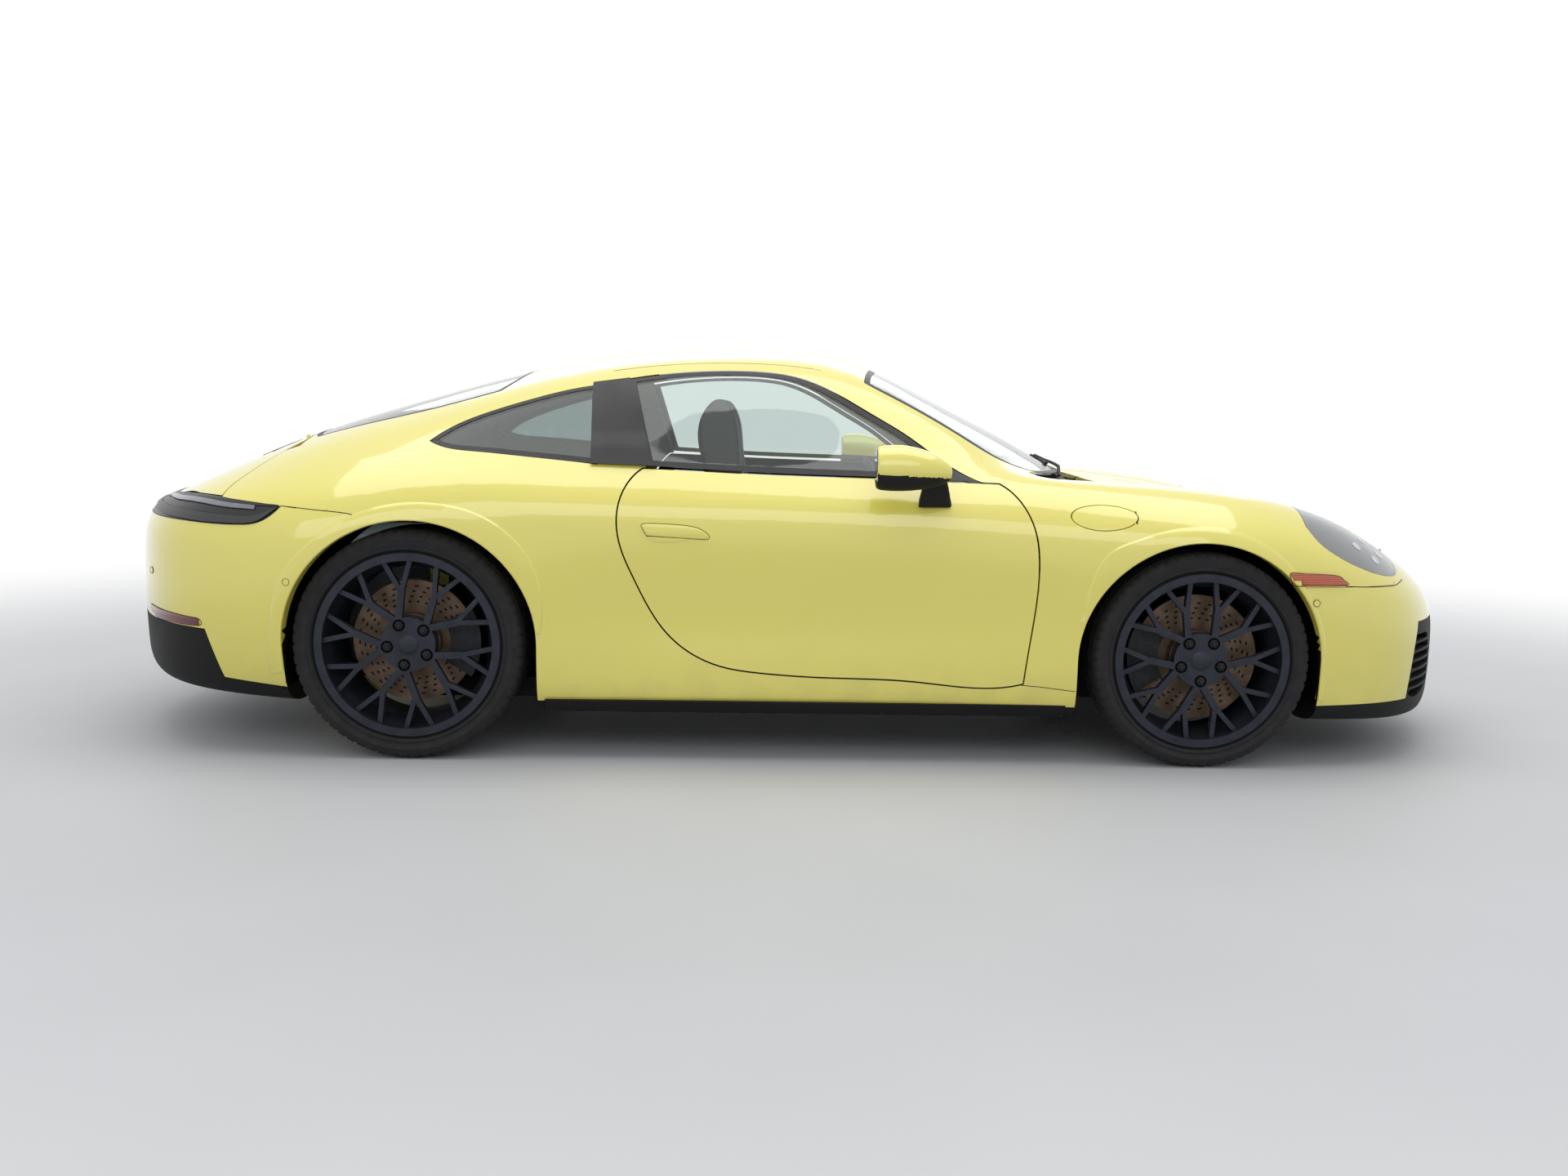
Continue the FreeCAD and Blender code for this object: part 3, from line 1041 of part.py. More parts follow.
wheel_parts = {axle: {"tyre": make_tyre(w), "rim": make_rim(w), "disc": make_disc(w)}
               for axle, w in wheels.items()}
for side, turn_over in (("r", lambda s: s), ("l", mirrored)):
    parts["door_" + side] = turn_over(door)
    parts["door_glass_" + side] = turn_over(door_glass)
    parts["mirror_" + side] = turn_over(mirror)
    parts["quarter_glass_" + side] = turn_over(quarter_glass)
    parts["headlamp_" + side] = turn_over(headlamp_r)
    parts["knuckle_" + side] = turn_over(knuckle_r)
    parts["seat_" + side] = turn_over(seat_r)
    for axle in wheels:
        for piece, made in wheel_parts[axle].items():
            parts[piece + "_" + axle[0] + side] = turn_over(made)
parts.update({
    "body_shell": body_shell, "chassis": chassis, "front_bumper": front_bumper,
    "front_lip": biggest(front_lip),
    "rear_bumper": rear_bumper, "rear_apron": rear_apron, "tail_lamp": tail_lamp, "cowl": cowl,
    "windscreen": windscreen, "rear_window": rear_window, "fender_r": fender_r, "fender_l": fender_l,
    "front_lid": front_lid, "rear_lid": rear_lid, "fuel_flap": fuel_flap,
    "front_suspension": front_suspension, "rear_suspension": rear_suspension, "engine": engine,
    "exhaust": exhaust, "dashboard": dashboard, "console": console, "steering_wheel": steering_wheel,
    "rear_seats": rear_seats,
})
for name, shape in parts.items():
    shape.exportStep("parts/" + name + ".step")
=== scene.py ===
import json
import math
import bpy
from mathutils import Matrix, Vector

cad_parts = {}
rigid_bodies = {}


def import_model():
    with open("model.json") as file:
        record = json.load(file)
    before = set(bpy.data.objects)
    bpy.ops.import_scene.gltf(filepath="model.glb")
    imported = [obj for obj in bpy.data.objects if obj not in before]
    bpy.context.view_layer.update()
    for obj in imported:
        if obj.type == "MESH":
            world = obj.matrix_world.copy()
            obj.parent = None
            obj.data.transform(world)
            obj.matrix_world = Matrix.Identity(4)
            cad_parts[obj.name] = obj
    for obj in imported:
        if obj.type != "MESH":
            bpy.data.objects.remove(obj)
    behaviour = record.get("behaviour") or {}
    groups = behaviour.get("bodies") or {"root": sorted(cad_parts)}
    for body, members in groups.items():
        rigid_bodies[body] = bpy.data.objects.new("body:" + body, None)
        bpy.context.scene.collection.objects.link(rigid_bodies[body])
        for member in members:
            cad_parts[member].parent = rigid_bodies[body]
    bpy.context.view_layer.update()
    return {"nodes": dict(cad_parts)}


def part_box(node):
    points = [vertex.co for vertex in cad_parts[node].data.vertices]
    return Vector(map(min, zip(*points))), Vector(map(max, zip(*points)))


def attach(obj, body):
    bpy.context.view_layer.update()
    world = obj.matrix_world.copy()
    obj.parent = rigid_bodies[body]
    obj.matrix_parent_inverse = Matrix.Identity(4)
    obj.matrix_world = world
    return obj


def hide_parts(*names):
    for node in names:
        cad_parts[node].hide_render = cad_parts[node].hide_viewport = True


bl_info = {
    "name": "Coupe car",
    "version": (1, 0, 0),
    "blender": (4, 5, 0),
    "location": "3D View > Sidebar > Coupe",
    "description": "Dresses the frame of a two-door coupe with its finishes, wheels, lamps, trim and cabin",
    "category": "Object",
}

import bmesh
import bpy
from bpy.props import FloatProperty, FloatVectorProperty, IntProperty, PointerProperty
from bpy.types import Operator, Panel, PropertyGroup
from mathutils import Matrix, Vector
from mathutils.bvhtree import BVHTree

for old in list(bpy.data.objects):
    bpy.data.objects.remove(old)
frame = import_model()
cad = frame["nodes"]

# Sides of the car: the view that faces each, and which way it lies from the middle
sides = {"r": ("right", -1), "l": ("left", 1)}
axles = {"f": Vector((1.234, 0.770, 0.337)), "r": Vector((-1.216, 0.741, 0.356))}
views = {
    "right": (lambda u, v: Vector((u, -1.4, v)), Vector((0, 1, 0)), 0.5),
    "left": (lambda u, v: Vector((u, 1.4, v)), Vector((0, -1, 0)), 0.5),
    "front": (lambda u, v: Vector((2.7, u, v)), Vector((-1, 0, 0)), 0.6),
    "rear": (lambda u, v: Vector((-2.7, u, v)), Vector((1, 0, 0)), 0.5),
    "top": (lambda u, v: Vector((u, v, 1.6)), Vector((0, 0, -1)), 0.6),
}


def tint(red, green, blue):
    """A colour on the 0 to 255 scale of a screen, as the shader wants it."""
    shares = [value / 255 for value in (red, green, blue)]
    return tuple(s / 12.92 if s < 0.04045 else ((s + 0.055) / 1.055) ** 2.4 for s in shares) + (1.0,)


def colour(name, words, default):
    return FloatVectorProperty(
        name=name, description=words, subtype="COLOR", size=4, min=0.0, max=1.0, default=default)


def length(name, words, default):
    return FloatProperty(name=name, description=words, unit="LENGTH", default=default, min=0.0, precision=4)


def power(name, words, default):
    return FloatProperty(name=name, description=words, unit="POWER", default=default, min=0.0)


class CoupeColours(PropertyGroup):
    paint: colour("Paint", "Body paint", tint(232, 220, 98))
    wheel: colour("Wheel", "Satin coat of the rims", tint(44, 47, 57))
    plastic: colour("Plastic", "Unpainted black plastic", tint(11, 11, 12))
    leather: colour("Leather", "Seat covers and wheel rim", tint(34, 35, 38))
    glass: colour("Glass", "Tint of the panes", (0.60, 0.66, 0.65, 1.0))
    amber: colour("Amber", "Side marker lenses", tint(196, 78, 22))
    reflector: colour("Reflector", "Rear reflectors", tint(112, 16, 22))


class CoupeSizes(PropertyGroup):
    seam: length("Seam", "Radius of a dark joint line between panels", 0.0017)
    border: length("Border", "Width of the black border of a pane", 0.02)
    flare: length("Flare", "How far the arch flares stand out", 0.005)
    groove: length("Groove", "Depth of the tread grooves", 0.007)
    sipe_depth: length("Sipe", "Depth of the cuts across the tread", 0.005)
    bolt_circle: length("Bolt circle", "Radius of the circle of wheel bolts", 0.065)
    bolts: IntProperty(name="Bolts", description="Bolts in each wheel", default=5, min=3, max=8)
    skin: length("Skin", "Thickness of linings laid on the frame", 0.0008)


class CoupeStudio(PropertyGroup):
    over: power("Over", "Power of the lamp over the car", 155.0)
    near: power("Near", "Power of the lamp behind the camera", 70.0)
    far: power("Far", "Power of the lamp behind the car", 65.0)
    sky: FloatProperty(name="Sky", description="Strength of the soft light all round", default=0.62, min=0.0)


# Shader lines: sockets that take part in sums
class Line:
    """A socket of a material that can be added, multiplied and compared."""

    def __init__(self, finish, socket):
        self.finish, self.socket = finish, socket

    def maths(self, operation, *values):
        return self.finish.node("ShaderNodeMath", {"operation": operation}, dict(enumerate(values)))

    def __add__(self, other):
        return self.maths("ADD", self, other)

    def __radd__(self, other):
        return self.maths("ADD", other, self)

    def __sub__(self, other):
        return self.maths("SUBTRACT", self, other)

    def __rsub__(self, other):
        return self.maths("SUBTRACT", other, self)

    def __mul__(self, other):
        return self.maths("MULTIPLY", self, other)

    def __rmul__(self, other):
        return self.maths("MULTIPLY", other, self)

    def __truediv__(self, other):
        return self.maths("DIVIDE", self, other)

    def __pow__(self, other):
        return self.maths("POWER", self, other)

    def __gt__(self, other):
        return self.maths("GREATER_THAN", self, other)

    def __lt__(self, other):
        return self.maths("LESS_THAN", self, other)

    def clipped(self):
        return self.finish.node("ShaderNodeClamp", {}, {"Value": self})

    def fade(self, low, high):
        """0 below low, 1 above high, smooth between."""
        settings = {"interpolation_type": "SMOOTHSTEP"}
        sockets = {"Value": self, "From Min": low, "From Max": high}
        return self.finish.node("ShaderNodeMapRange", settings, sockets)


class Finish:
    """A material made of one shader and the nodes that feed it."""

    def __init__(self, name):
        self.material = bpy.data.materials.new(name)
        self.material.use_nodes = True
        self.tree = self.material.node_tree
        self.tree.nodes.clear()

    def node(self, kind, settings, sockets, out=0):
        node = self.tree.nodes.new(kind)
        for key, value in settings.items():
            if key == "stops":
                ramp = node.color_ramp.elements
                while len(ramp) < len(value):
                    ramp.new(1.0)
                for stop, (place, colour) in zip(ramp, value):
                    stop.position, stop.color = place, colour
            else:
                setattr(node, key, value)
        for key, value in sockets.items():
            if isinstance(value, Line):
                self.tree.links.new(value.socket, node.inputs[key])
            else:
                node.inputs[key].default_value = value
        return Line(self, node.outputs[out])

    def shader(self, **sockets):
        """The main shader: words joined by _ name its sockets."""
        named = {key.replace("_", " "): value for key, value in sockets.items()}
        return self.node("ShaderNodeBsdfPrincipled", {}, named)

    def output(self, surface):
        end = self.tree.nodes.new("ShaderNodeOutputMaterial")
        self.tree.links.new(surface.socket, end.inputs["Surface"])
        return self.material

    def mix(self, share, a, b):
        """Blend two colours by a share."""
        sockets = {0: share, 6: a, 7: b}
        return self.node("ShaderNodeMix", {"data_type": "RGBA"}, sockets, 2)

    def place(self):
        return self.node("ShaderNodeTexCoord", {}, {}, "Object")

    def axis(self, place, name):
        return self.node("ShaderNodeSeparateXYZ", {}, {0: place}, name)

    def noise(self, place, scale, detail=2.0, roughness=0.5):
        sockets = {"Vector": place, "Scale": scale, "Detail": detail, "Roughness": roughness}
        return self.node("ShaderNodeTexNoise", {}, sockets)

    def cells(self, place, scale, feature="F1"):
        sockets = {"Vector": place, "Scale": scale}
        return self.node("ShaderNodeTexVoronoi", {"feature": feature}, sockets)

    def bump(self, height, strength, distance):
        sockets = {"Height": height, "Strength": strength, "Distance": distance}
        return self.node("ShaderNodeBump", {}, sockets)


def paint_finish(name, colour):
    f = Finish(name)
    place = f.place()
    # Darker towards the bottom: below about 0.42 m the paint is mottled towards a darker grey beige, partly dust and
    # partly painted shade on the lower body
    low = 1 - f.axis(place, "Z").fade(0.12, 0.42)
    dust = low * f.noise(place, 9.0, 6.0).fade(0.35, 0.75) * 0.22
    cloud = f.noise(place, 2.5).fade(0.3, 0.7)
    fresh = f.mix(cloud * 0.06, colour, tuple(c * 0.86 for c in colour[:3]) + (1.0,))
    surface = f.shader(
        # The low mottle blends the base colour towards a darker grey beige: dust, and painted shade of the lower body
        Base_Color=f.mix(dust, fresh, tint(150, 144, 120)),
        Roughness=0.32 + dust * 0.8,
        Coat_Weight=1 - dust,
        Coat_Roughness=0.04,
        Coat_IOR=1.7,
        Normal=f.bump(f.noise(place, 420.0), 0.04, 0.001),
    )
    return f.output(surface)


def glass_finish(name, colour, sheen=0.0):
    """Clear tinted pane: see-through from the front, a mirror at a low angle."""
    f = Finish(name)
    facing = f.node("ShaderNodeLayerWeight", {}, {"Blend": 0.5}, "Facing")
    share = 0.045 + 0.9 * facing ** 5 + sheen
    clear = f.node("ShaderNodeBsdfTransparent", {}, {"Color": colour})
    gloss = f.node("ShaderNodeBsdfAnisotropic", {}, {"Color": (1, 1, 1, 1), "Roughness": 0.02})
    return f.output(f.node("ShaderNodeMixShader", {}, {0: share, 1: clear, 2: gloss}))


def moulded_finish(name, colour, roughness=0.6, grain=380.0, depth=0.12, gleam=0.5):
    """Grained black plastic with a trace of dust."""
    f = Finish(name)
    place = f.place()
    cells = f.cells(place, grain, "DISTANCE_TO_EDGE").fade(0.0, 0.12)
    dust = f.noise(place, 6.0, 5.0).fade(0.4, 0.8)
    light = tuple(min(c * 1.9 + 0.004, 1) for c in colour[:3]) + (1.0,)
    surface = f.shader(
        Base_Color=f.mix(dust * 0.35, colour, light),
        Roughness=roughness + dust * 0.12,
        Specular_IOR_Level=gleam,
        Normal=f.bump(cells, depth, 0.0008),
    )
    return f.output(surface)


def metal_finish(name, colour, metallic=1.0, roughness=0.35, streak=60.0):
    f = Finish(name)
    place = f.place()
    wear = f.noise(place, streak, 6.0, 0.6)
    dark = tuple(c * 0.72 for c in colour[:3]) + (1.0,)
    surface = f.shader(
        Base_Color=f.mix(wear.fade(0.35, 0.7), colour, dark),
        Metallic=metallic,
        Roughness=roughness + wear * 0.15,
        Normal=f.bump(wear, 0.06, 0.0008),
    )
    return f.output(surface)


def leather_finish(name, colour):
    f = Finish(name)
    place = f.place()
    grain = f.cells(place, 260.0, "DISTANCE_TO_EDGE").fade(0.0, 0.25)
    crease = f.noise(place, 14.0, 5.0)
    light = tuple(c * 1.7 for c in colour[:3]) + (1.0,)
    surface = f.shader(
        Base_Color=f.mix(crease.fade(0.4, 0.75) * 0.5, colour, light),
        Roughness=0.42 + crease * 0.2,
        Normal=f.bump(grain * 0.6 + crease, 0.25, 0.0012),
    )
    return f.output(surface)


def turned_finish(name, colour, axle, metallic, roughness, rings):
    """Metal or rubber with fine rings about the axle."""
    f = Finish(name)
    place = f.place()
    across, up = f.axis(place, "X") - axle.x, f.axis(place, "Z") - axle.z
    radius = (across * across + up * up) ** 0.5
    line = f.node("ShaderNodeMath", {"operation": "SINE"}, {0: radius * rings})
    grime = f.noise(place, 28.0, 5.0)
    dark = tuple(c * 0.55 for c in colour[:3]) + (1.0,)
    surface = f.shader(
        Base_Color=f.mix(grime.fade(0.35, 0.7) * 0.6, colour, dark),
        Metallic=metallic,
        Roughness=roughness + grime * 0.18,
        Normal=f.bump(line * 0.5 + grime, 0.12, 0.0006),
    )
    return f.output(surface)


def lamp_finish(name, colour, painted_glow=0.0):
    """Moulded lens with a fine fluted back and a faint painted glow."""
    f = Finish(name)
    place = f.place()
    flute = f.node("ShaderNodeMath", {"operation": "SINE"}, {0: f.axis(place, "Z") * 900.0})
    deep = tuple(c * 0.45 for c in colour[:3]) + (1.0,)
    surface = f.shader(
        Base_Color=f.mix(flute.fade(-1.0, 1.0), deep, colour),
        Roughness=0.12,
        Coat_Weight=1.0,
        Emission_Color=colour,
        Emission_Strength=painted_glow,
        Normal=f.bump(flute, 0.1, 0.0006),
    )
    return f.output(surface)


def gloss_finish(name, shade, roughness=0.1, metallic=0.0, coat=0.6):
    """Polished black or coloured plastic with faint swirl marks."""
    f = Finish(name)
    place = f.place()
    haze = f.noise(place, 34.0, 5.0)
    pale = tuple(min(c * 1.5 + 0.003, 1) for c in shade[:3]) + (1.0,)
    surface = f.shader(
        Base_Color=f.mix(haze.fade(0.4, 0.8) * 0.4, shade, pale),
        Metallic=metallic,
        Roughness=roughness + haze * 0.08,
        Coat_Weight=coat,
        Normal=f.bump(haze, 0.03, 0.0006),
    )
    return f.output(surface)


def drilled_finish(name, shade, axle):
    """Turned brake disc with rings of drilled holes, painted near-black inside as shade."""
    f = Finish(name)
    place = f.place()
    across, up = f.axis(place, "X") - axle.x, f.axis(place, "Z") - axle.z
    radius = (across * across + up * up) ** 0.5
    angle = f.node("ShaderNodeMath", {"operation": "ARCTAN2"}, {0: up, 1: across})
    holes_and_hole_shade = None
    for k, ring in enumerate((0.122, 0.138, 0.154, 0.170)):
        around = f.node("ShaderNodeMath", {"operation": "COSINE"}, {0: angle * 30.0 + k * 1.57})
        aside = (1 - around) * 0.0045
        off = (radius - ring) * (radius - ring) + aside * aside
        hole = 1 - off.fade(0.0000060, 0.0000110)
        holes_and_hole_shade = hole if holes_and_hole_shade is None else holes_and_hole_shade + hole
    line = f.node("ShaderNodeMath", {"operation": "SINE"}, {0: radius * 5200.0})
    grime = f.noise(place, 28.0, 5.0)
    dark = tuple(c * 0.5 for c in shade[:3]) + (1.0,)
    worn = f.mix(grime.fade(0.35, 0.7) * 0.6, shade, dark)
    surface = f.shader(
        # Near-black in the drilled holes is painted shade
        Base_Color=f.mix(holes_and_hole_shade.clipped(), worn, tint(14, 13, 12)),
        Metallic=0.85,
        Roughness=0.3 + grime * 0.18,
        Normal=f.bump(line * 0.5 + grime - holes_and_hole_shade * 3, 0.12, 0.0006),
    )
    return f.output(surface)


def carpet_finish(name, shade):
    f = Finish(name)
    place = f.place()
    pile = f.noise(place, 900.0, 3.0)
    pale = tuple(c * 2.0 + 0.004 for c in shade[:3]) + (1.0,)
    surface = f.shader(
        Base_Color=f.mix(pile.fade(0.3, 0.7), shade, pale), Roughness=0.95, Normal=f.bump(pile, 0.5, 0.0015))
    return f.output(surface)


def cover_finish(name, shade, axle_x):
    """Leather with rows of fine holes all over."""
    f = Finish(name)
    place = f.place()
    rows = f.node("ShaderNodeMath", {"operation": "SINE"}, {0: f.axis(place, "X") * 700.0})
    files = f.node("ShaderNodeMath", {"operation": "SINE"}, {0: f.axis(place, "Y") * 700.0})
    pin = (rows * files).fade(0.55, 0.9)
    grain = f.cells(place, 260.0, "DISTANCE_TO_EDGE").fade(0.0, 0.25)
    crease = f.noise(place, 14.0, 5.0)
    pale = tuple(c * 1.7 for c in shade[:3]) + (1.0,)
    hide = f.mix(crease.fade(0.4, 0.75) * 0.5, shade, pale)
    surface = f.shader(
        Base_Color=f.mix(pin * 0.6, hide, tint(10, 10, 11)),
        Roughness=0.42 + crease * 0.2,
        Normal=f.bump(grain * 0.6 + crease - pin * 0.8, 0.25, 0.0012),
    )
    return f.output(surface)


finishes = {}
slot_of = {
    "gloss_black": "black_plastic", "seam": "black_plastic", "lining": "black_plastic", "amber": "lamp_red",
    "reflector": "lamp_red", "blade": "lamp_clear", "lamp_bowl": "black_plastic", "chrome": "steel",
    "mirror_face": "glass", "carpet": "trim", "cover": "leather", "screen": "trim", "caliper": "dark_metal",
    "rubber": "black_plastic", "plate": "trim", "lens_dot": "lamp_clear",
}


def mix_finishes(colours):
    """Makes every finish of the car from the panel's colours."""
    finishes.update({
        "paint": paint_finish("paint", tuple(colours.paint)),
        "glass": glass_finish("glass", tuple(colours.glass)),
        "clear_glass": glass_finish("clear_glass", (0.86, 0.90, 0.89, 1)),
        "frit": moulded_finish("frit", tint(12, 12, 13), 0.45, 600.0, 0.02),
        "lamp_clear": glass_finish("lamp_clear", (0.86, 0.9, 0.92, 1), 0.16),
        "lamp_red": gloss_finish("lamp_red", tint(16, 8, 9), 0.3, coat=0.1),
        "black_plastic": moulded_finish("black_plastic", tuple(colours.plastic), gleam=0.3),
        "dark_metal": metal_finish("dark_metal", tint(44, 45, 48), 0.6, 0.5),
        "cast": metal_finish("cast", tint(150, 152, 155), 0.9, 0.5, 120.0),
        "steel": metal_finish("steel", tint(190, 190, 192), 1.0, 0.25),
        "trim": moulded_finish("trim", tint(34, 34, 36), 0.7, 520.0, 0.2),
        "leather": leather_finish("leather", tuple(colours.leather)),
        "cover": cover_finish("cover", tuple(colours.leather), 0.0),
        "gloss_black": gloss_finish("gloss_black", tint(7, 7, 8), 0.35, coat=0.1),
        "seam": moulded_finish("seam", tint(30, 28, 18), 0.9, gleam=0.1),
        "lining": moulded_finish("lining", tint(9, 9, 10), 1.0, 160.0, 0.3, gleam=0.08),
        "rubber": moulded_finish("rubber", tint(20, 20, 21), 0.75),
        # Markers and reflectors are not lit; their small emission strength is a painted glow
        "amber": lamp_finish("amber", tuple(colours.amber), 0.08),
        "reflector": lamp_finish("reflector", tuple(colours.reflector), 0.04),
        "blade": gloss_finish("blade", tint(112, 114, 124), 0.25),
        "lip": gloss_finish("lip", tint(44, 43, 46), 0.4, coat=0.15),
        "lamp_bowl": gloss_finish("lamp_bowl", tint(26, 27, 30), 0.15),
        "lens_dot": gloss_finish("lens_dot", tint(205, 212, 222), 0.06, 0.4),
        "chrome": metal_finish("chrome", tint(215, 216, 218), 1.0, 0.12),
        "mirror_face": gloss_finish("mirror_face", tint(170, 176, 182), 0.03, 1.0),
        "carpet": carpet_finish("carpet", tint(26, 26, 28)),
        "screen": gloss_finish("screen", tint(12, 13, 16), 0.08),
        "caliper": gloss_finish("caliper", tint(18, 18, 20), 0.2),
        "plate": gloss_finish("plate", tint(216, 217, 219), 0.3),
    })
    slot_of.update({"lip": "lamp_red", "frit": "black_plastic", "clear_glass": "glass"})
    for tag, axle in axles.items():
        finishes["tyre_" + tag] = turned_finish("tyre_" + tag, tint(25, 25, 27), axle, 0.0, 0.75, 900.0)
        # The disc's bronze brown is its own colour, darkened further as painted shade of the wheel
        finishes["disc_" + tag] = drilled_finish("disc_" + tag, tint(100, 84, 70), axle)
        finishes["wheel_paint_" + tag] = turned_finish(
            "wheel_paint_" + tag, tuple(colours.wheel), axle, 0.55, 0.36, 300.0)


# Making and placing pieces
def deselect():
    bpy.ops.object.select_all(action="DESELECT")


def take_up(piece):
    deselect()
    piece.select_set(True)
    bpy.context.view_layer.objects.active = piece


def modify(piece, kind, **settings):
    """Adds a modifier and applies it at once."""
    take_up(piece)
    bpy.ops.object.modifier_add(type=kind)
    modifier = piece.modifiers[-1]
    for key, value in settings.items():
        setattr(modifier, key, value)
    bpy.ops.object.modifier_apply(modifier=modifier.name)


def settle(piece, name, finish, body="body", crease=40.0):
    """Closes a finished piece's seams, turns its faces outwards and puts it on its body."""
    take_up(piece)
    bpy.ops.object.transform_apply(location=True, rotation=True, scale=True)
    bpy.ops.object.mode_set(mode="EDIT")
    bpy.ops.mesh.select_all(action="SELECT")
    bpy.ops.mesh.remove_doubles(threshold=0.00003)
    bpy.ops.mesh.dissolve_degenerate(threshold=0.00003)
    bpy.ops.mesh.normals_make_consistent(inside=False)
    bpy.ops.object.mode_set(mode="OBJECT")
    bpy.ops.object.shade_smooth_by_angle(angle=math.radians(crease))
    piece.name = piece.data.name = name
    piece.data.materials.clear()
    piece.data.materials.append(finishes[finish])
    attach(piece, body)
    slot = slot_of.get(finish, finish)
    for ending in ("_f", "_r"):
        if slot.startswith(("tyre", "disc", "wheel_paint")):
            slot = slot.removesuffix(ending)
    return piece


def skin_of(names):
    """The surface of some of the frame's nodes, to lay pieces on."""
    mesh = bmesh.new()
    for name in names:
        mesh.from_mesh(cad[name].data)
    tree = BVHTree.FromBMesh(mesh)
    mesh.free()
    return tree


outside = [name for name in cad if name.startswith((
    "body_shell", "front_bumper", "rear_bumper", "rear_apron", "front_lip", "fender", "door_", "tail_lamp",
    "headlamp", "front_lid", "rear_lid", "cowl", "fuel_flap", "windscreen", "rear_window", "quarter_glass"))]
skin = skin_of(outside)


def land(u, v, view, lift=0.0, tree=skin):
    """Where a view's ray meets the skin, and the direction that faces out of it there."""
    start, way, reach = views[view]
    hit, out, _, _ = tree.ray_cast(start(u, v), way)
    if hit is None:
        hit, out, _, _ = tree.find_nearest(start(u, v) + way * reach)
    if out.dot(way) > 0:
        out = -out
    return hit + out * lift, out


def smooth_run(points, count, closed=False):
    """Points on a smooth line through the given ones, count to each stretch."""
    points = [Vector(p) for p in points]
    last = len(points) if closed else len(points) - 1
    line = []
    for k in range(last):
        around = [points[(k + d) % len(points)] if closed else points[min(max(k + d, 0), len(points) - 1)]
                  for d in (-1, 0, 1, 2)]
        a, b, c, d = around
        for step in range(count):
            t = step / count
            line.append(0.5 * (2 * b + (c - a) * t + (2 * a - 5 * b + 4 * c - d) * t * t
                               + (3 * b - a - 3 * c + d) * t * t * t))
    if not closed:
        line.append(points[-1])
    return line


def patch(name, outline, view, finish, body="body", lift=0.001, thickness=0.002, pitch=0.02, edge=0.0, tree=skin):
    """A thin piece laid on the skin inside an outline that one view gives."""
    deselect()
    bpy.ops.mesh.primitive_circle_add(vertices=len(outline), radius=1.0, fill_type="NGON")
    piece = bpy.context.object
    for vertex, (u, v) in zip(piece.data.vertices, outline):
        vertex.co = (u, v, 0)
    bpy.ops.object.mode_set(mode="EDIT")
    for axis in range(2):
        low, high = min(p[axis] for p in outline), max(p[axis] for p in outline)
        cuts = max(1, round((high - low) / pitch))
        for k in range(1, cuts):
            place, across = [0, 0, 0], [0, 0, 0]
            place[axis], across[axis] = low + (high - low) * k / cuts, 1
            bpy.ops.mesh.select_all(action="SELECT")
            bpy.ops.mesh.bisect(plane_co=place, plane_no=across)
    bpy.ops.object.mode_set(mode="OBJECT")
    for vertex in piece.data.vertices:
        vertex.co = land(vertex.co.x, vertex.co.y, view, lift, tree)[0]
    modify(piece, "SOLIDIFY", thickness=thickness, offset=0.0)
    if edge:
        modify(piece, "BEVEL", width=edge, segments=2, limit_method="ANGLE", angle_limit=math.radians(50))
    return settle(piece, name, finish, body)


def hose(name, points, radius, finish, body="body", closed=False, sides_round=2):
    """A round bar along points."""
    curve = bpy.data.curves.new(name, "CURVE")
    curve.dimensions = "3D"
    curve.bevel_depth, curve.bevel_resolution, curve.use_fill_caps = radius, sides_round, not closed
    spline = curve.splines.new("POLY")
    spline.points.add(len(points) - 1)
    for knot, point in zip(spline.points, points):
        knot.co = (*point, 1.0)
    spline.use_cyclic_u = closed
    piece = bpy.data.objects.new(name, curve)
    bpy.context.collection.objects.link(piece)
    take_up(piece)
    bpy.ops.object.convert(target="MESH")
    return settle(bpy.context.object, name, finish, body, 60.0)


def seam(name, points, view, body="body", closed=False, finish="seam", radius=None, sink=0.4, tree=skin):
    """A dark joint line that lies half in the skin."""
    radius = radius or bpy.context.scene.coupe_sizes.seam
    line = smooth_run([(u, v, 0) for u, v in points], 7, closed)
    laid = [land(p.x, p.y, view, -radius * sink, tree)[0] for p in line]
    return hose(name, laid, radius, finish, body, closed, 1)


def lathe(name, profile, centre, finish, body, steps=64, crease=35.0):
    """A closed outline of (radius, place on the axle) turned about a line along Y."""
    deselect()
    bpy.ops.mesh.primitive_circle_add(vertices=len(profile), radius=1.0, fill_type="NOTHING")
    piece = bpy.context.object
    for vertex, (radius, along) in zip(piece.data.vertices, profile):
        vertex.co = (centre.x + radius, centre.y + along, centre.z)
    bpy.ops.object.mode_set(mode="EDIT")
    bpy.ops.mesh.select_all(action="SELECT")
    bpy.ops.mesh.spin(steps=steps, angle=math.tau, center=centre, axis=(0, 1, 0))
    bpy.ops.object.mode_set(mode="OBJECT")
    return settle(piece, name, finish, body, crease)


def block(name, low, high, finish, body="body", edge=0.004, steps=3, shape=None):
    """A box with rounded edges; shape may move its corners first."""
    deselect()
    middle = [(a + b) / 2 for a, b in zip(low, high)]
    bpy.ops.mesh.primitive_cube_add(size=1.0, location=middle, scale=[b - a for a, b in zip(low, high)])
    piece = bpy.context.object
    bpy.ops.object.transform_apply(location=True, rotation=True, scale=True)
    if shape:
        for vertex in piece.data.vertices:
            vertex.co = shape(vertex.co)
    bpy.ops.object.mode_set(mode="EDIT")
    bpy.ops.mesh.select_all(action="SELECT")
    bpy.ops.mesh.bevel(offset=edge, segments=steps, affect="EDGES")
    bpy.ops.object.mode_set(mode="OBJECT")
    return settle(piece, name, finish, body)


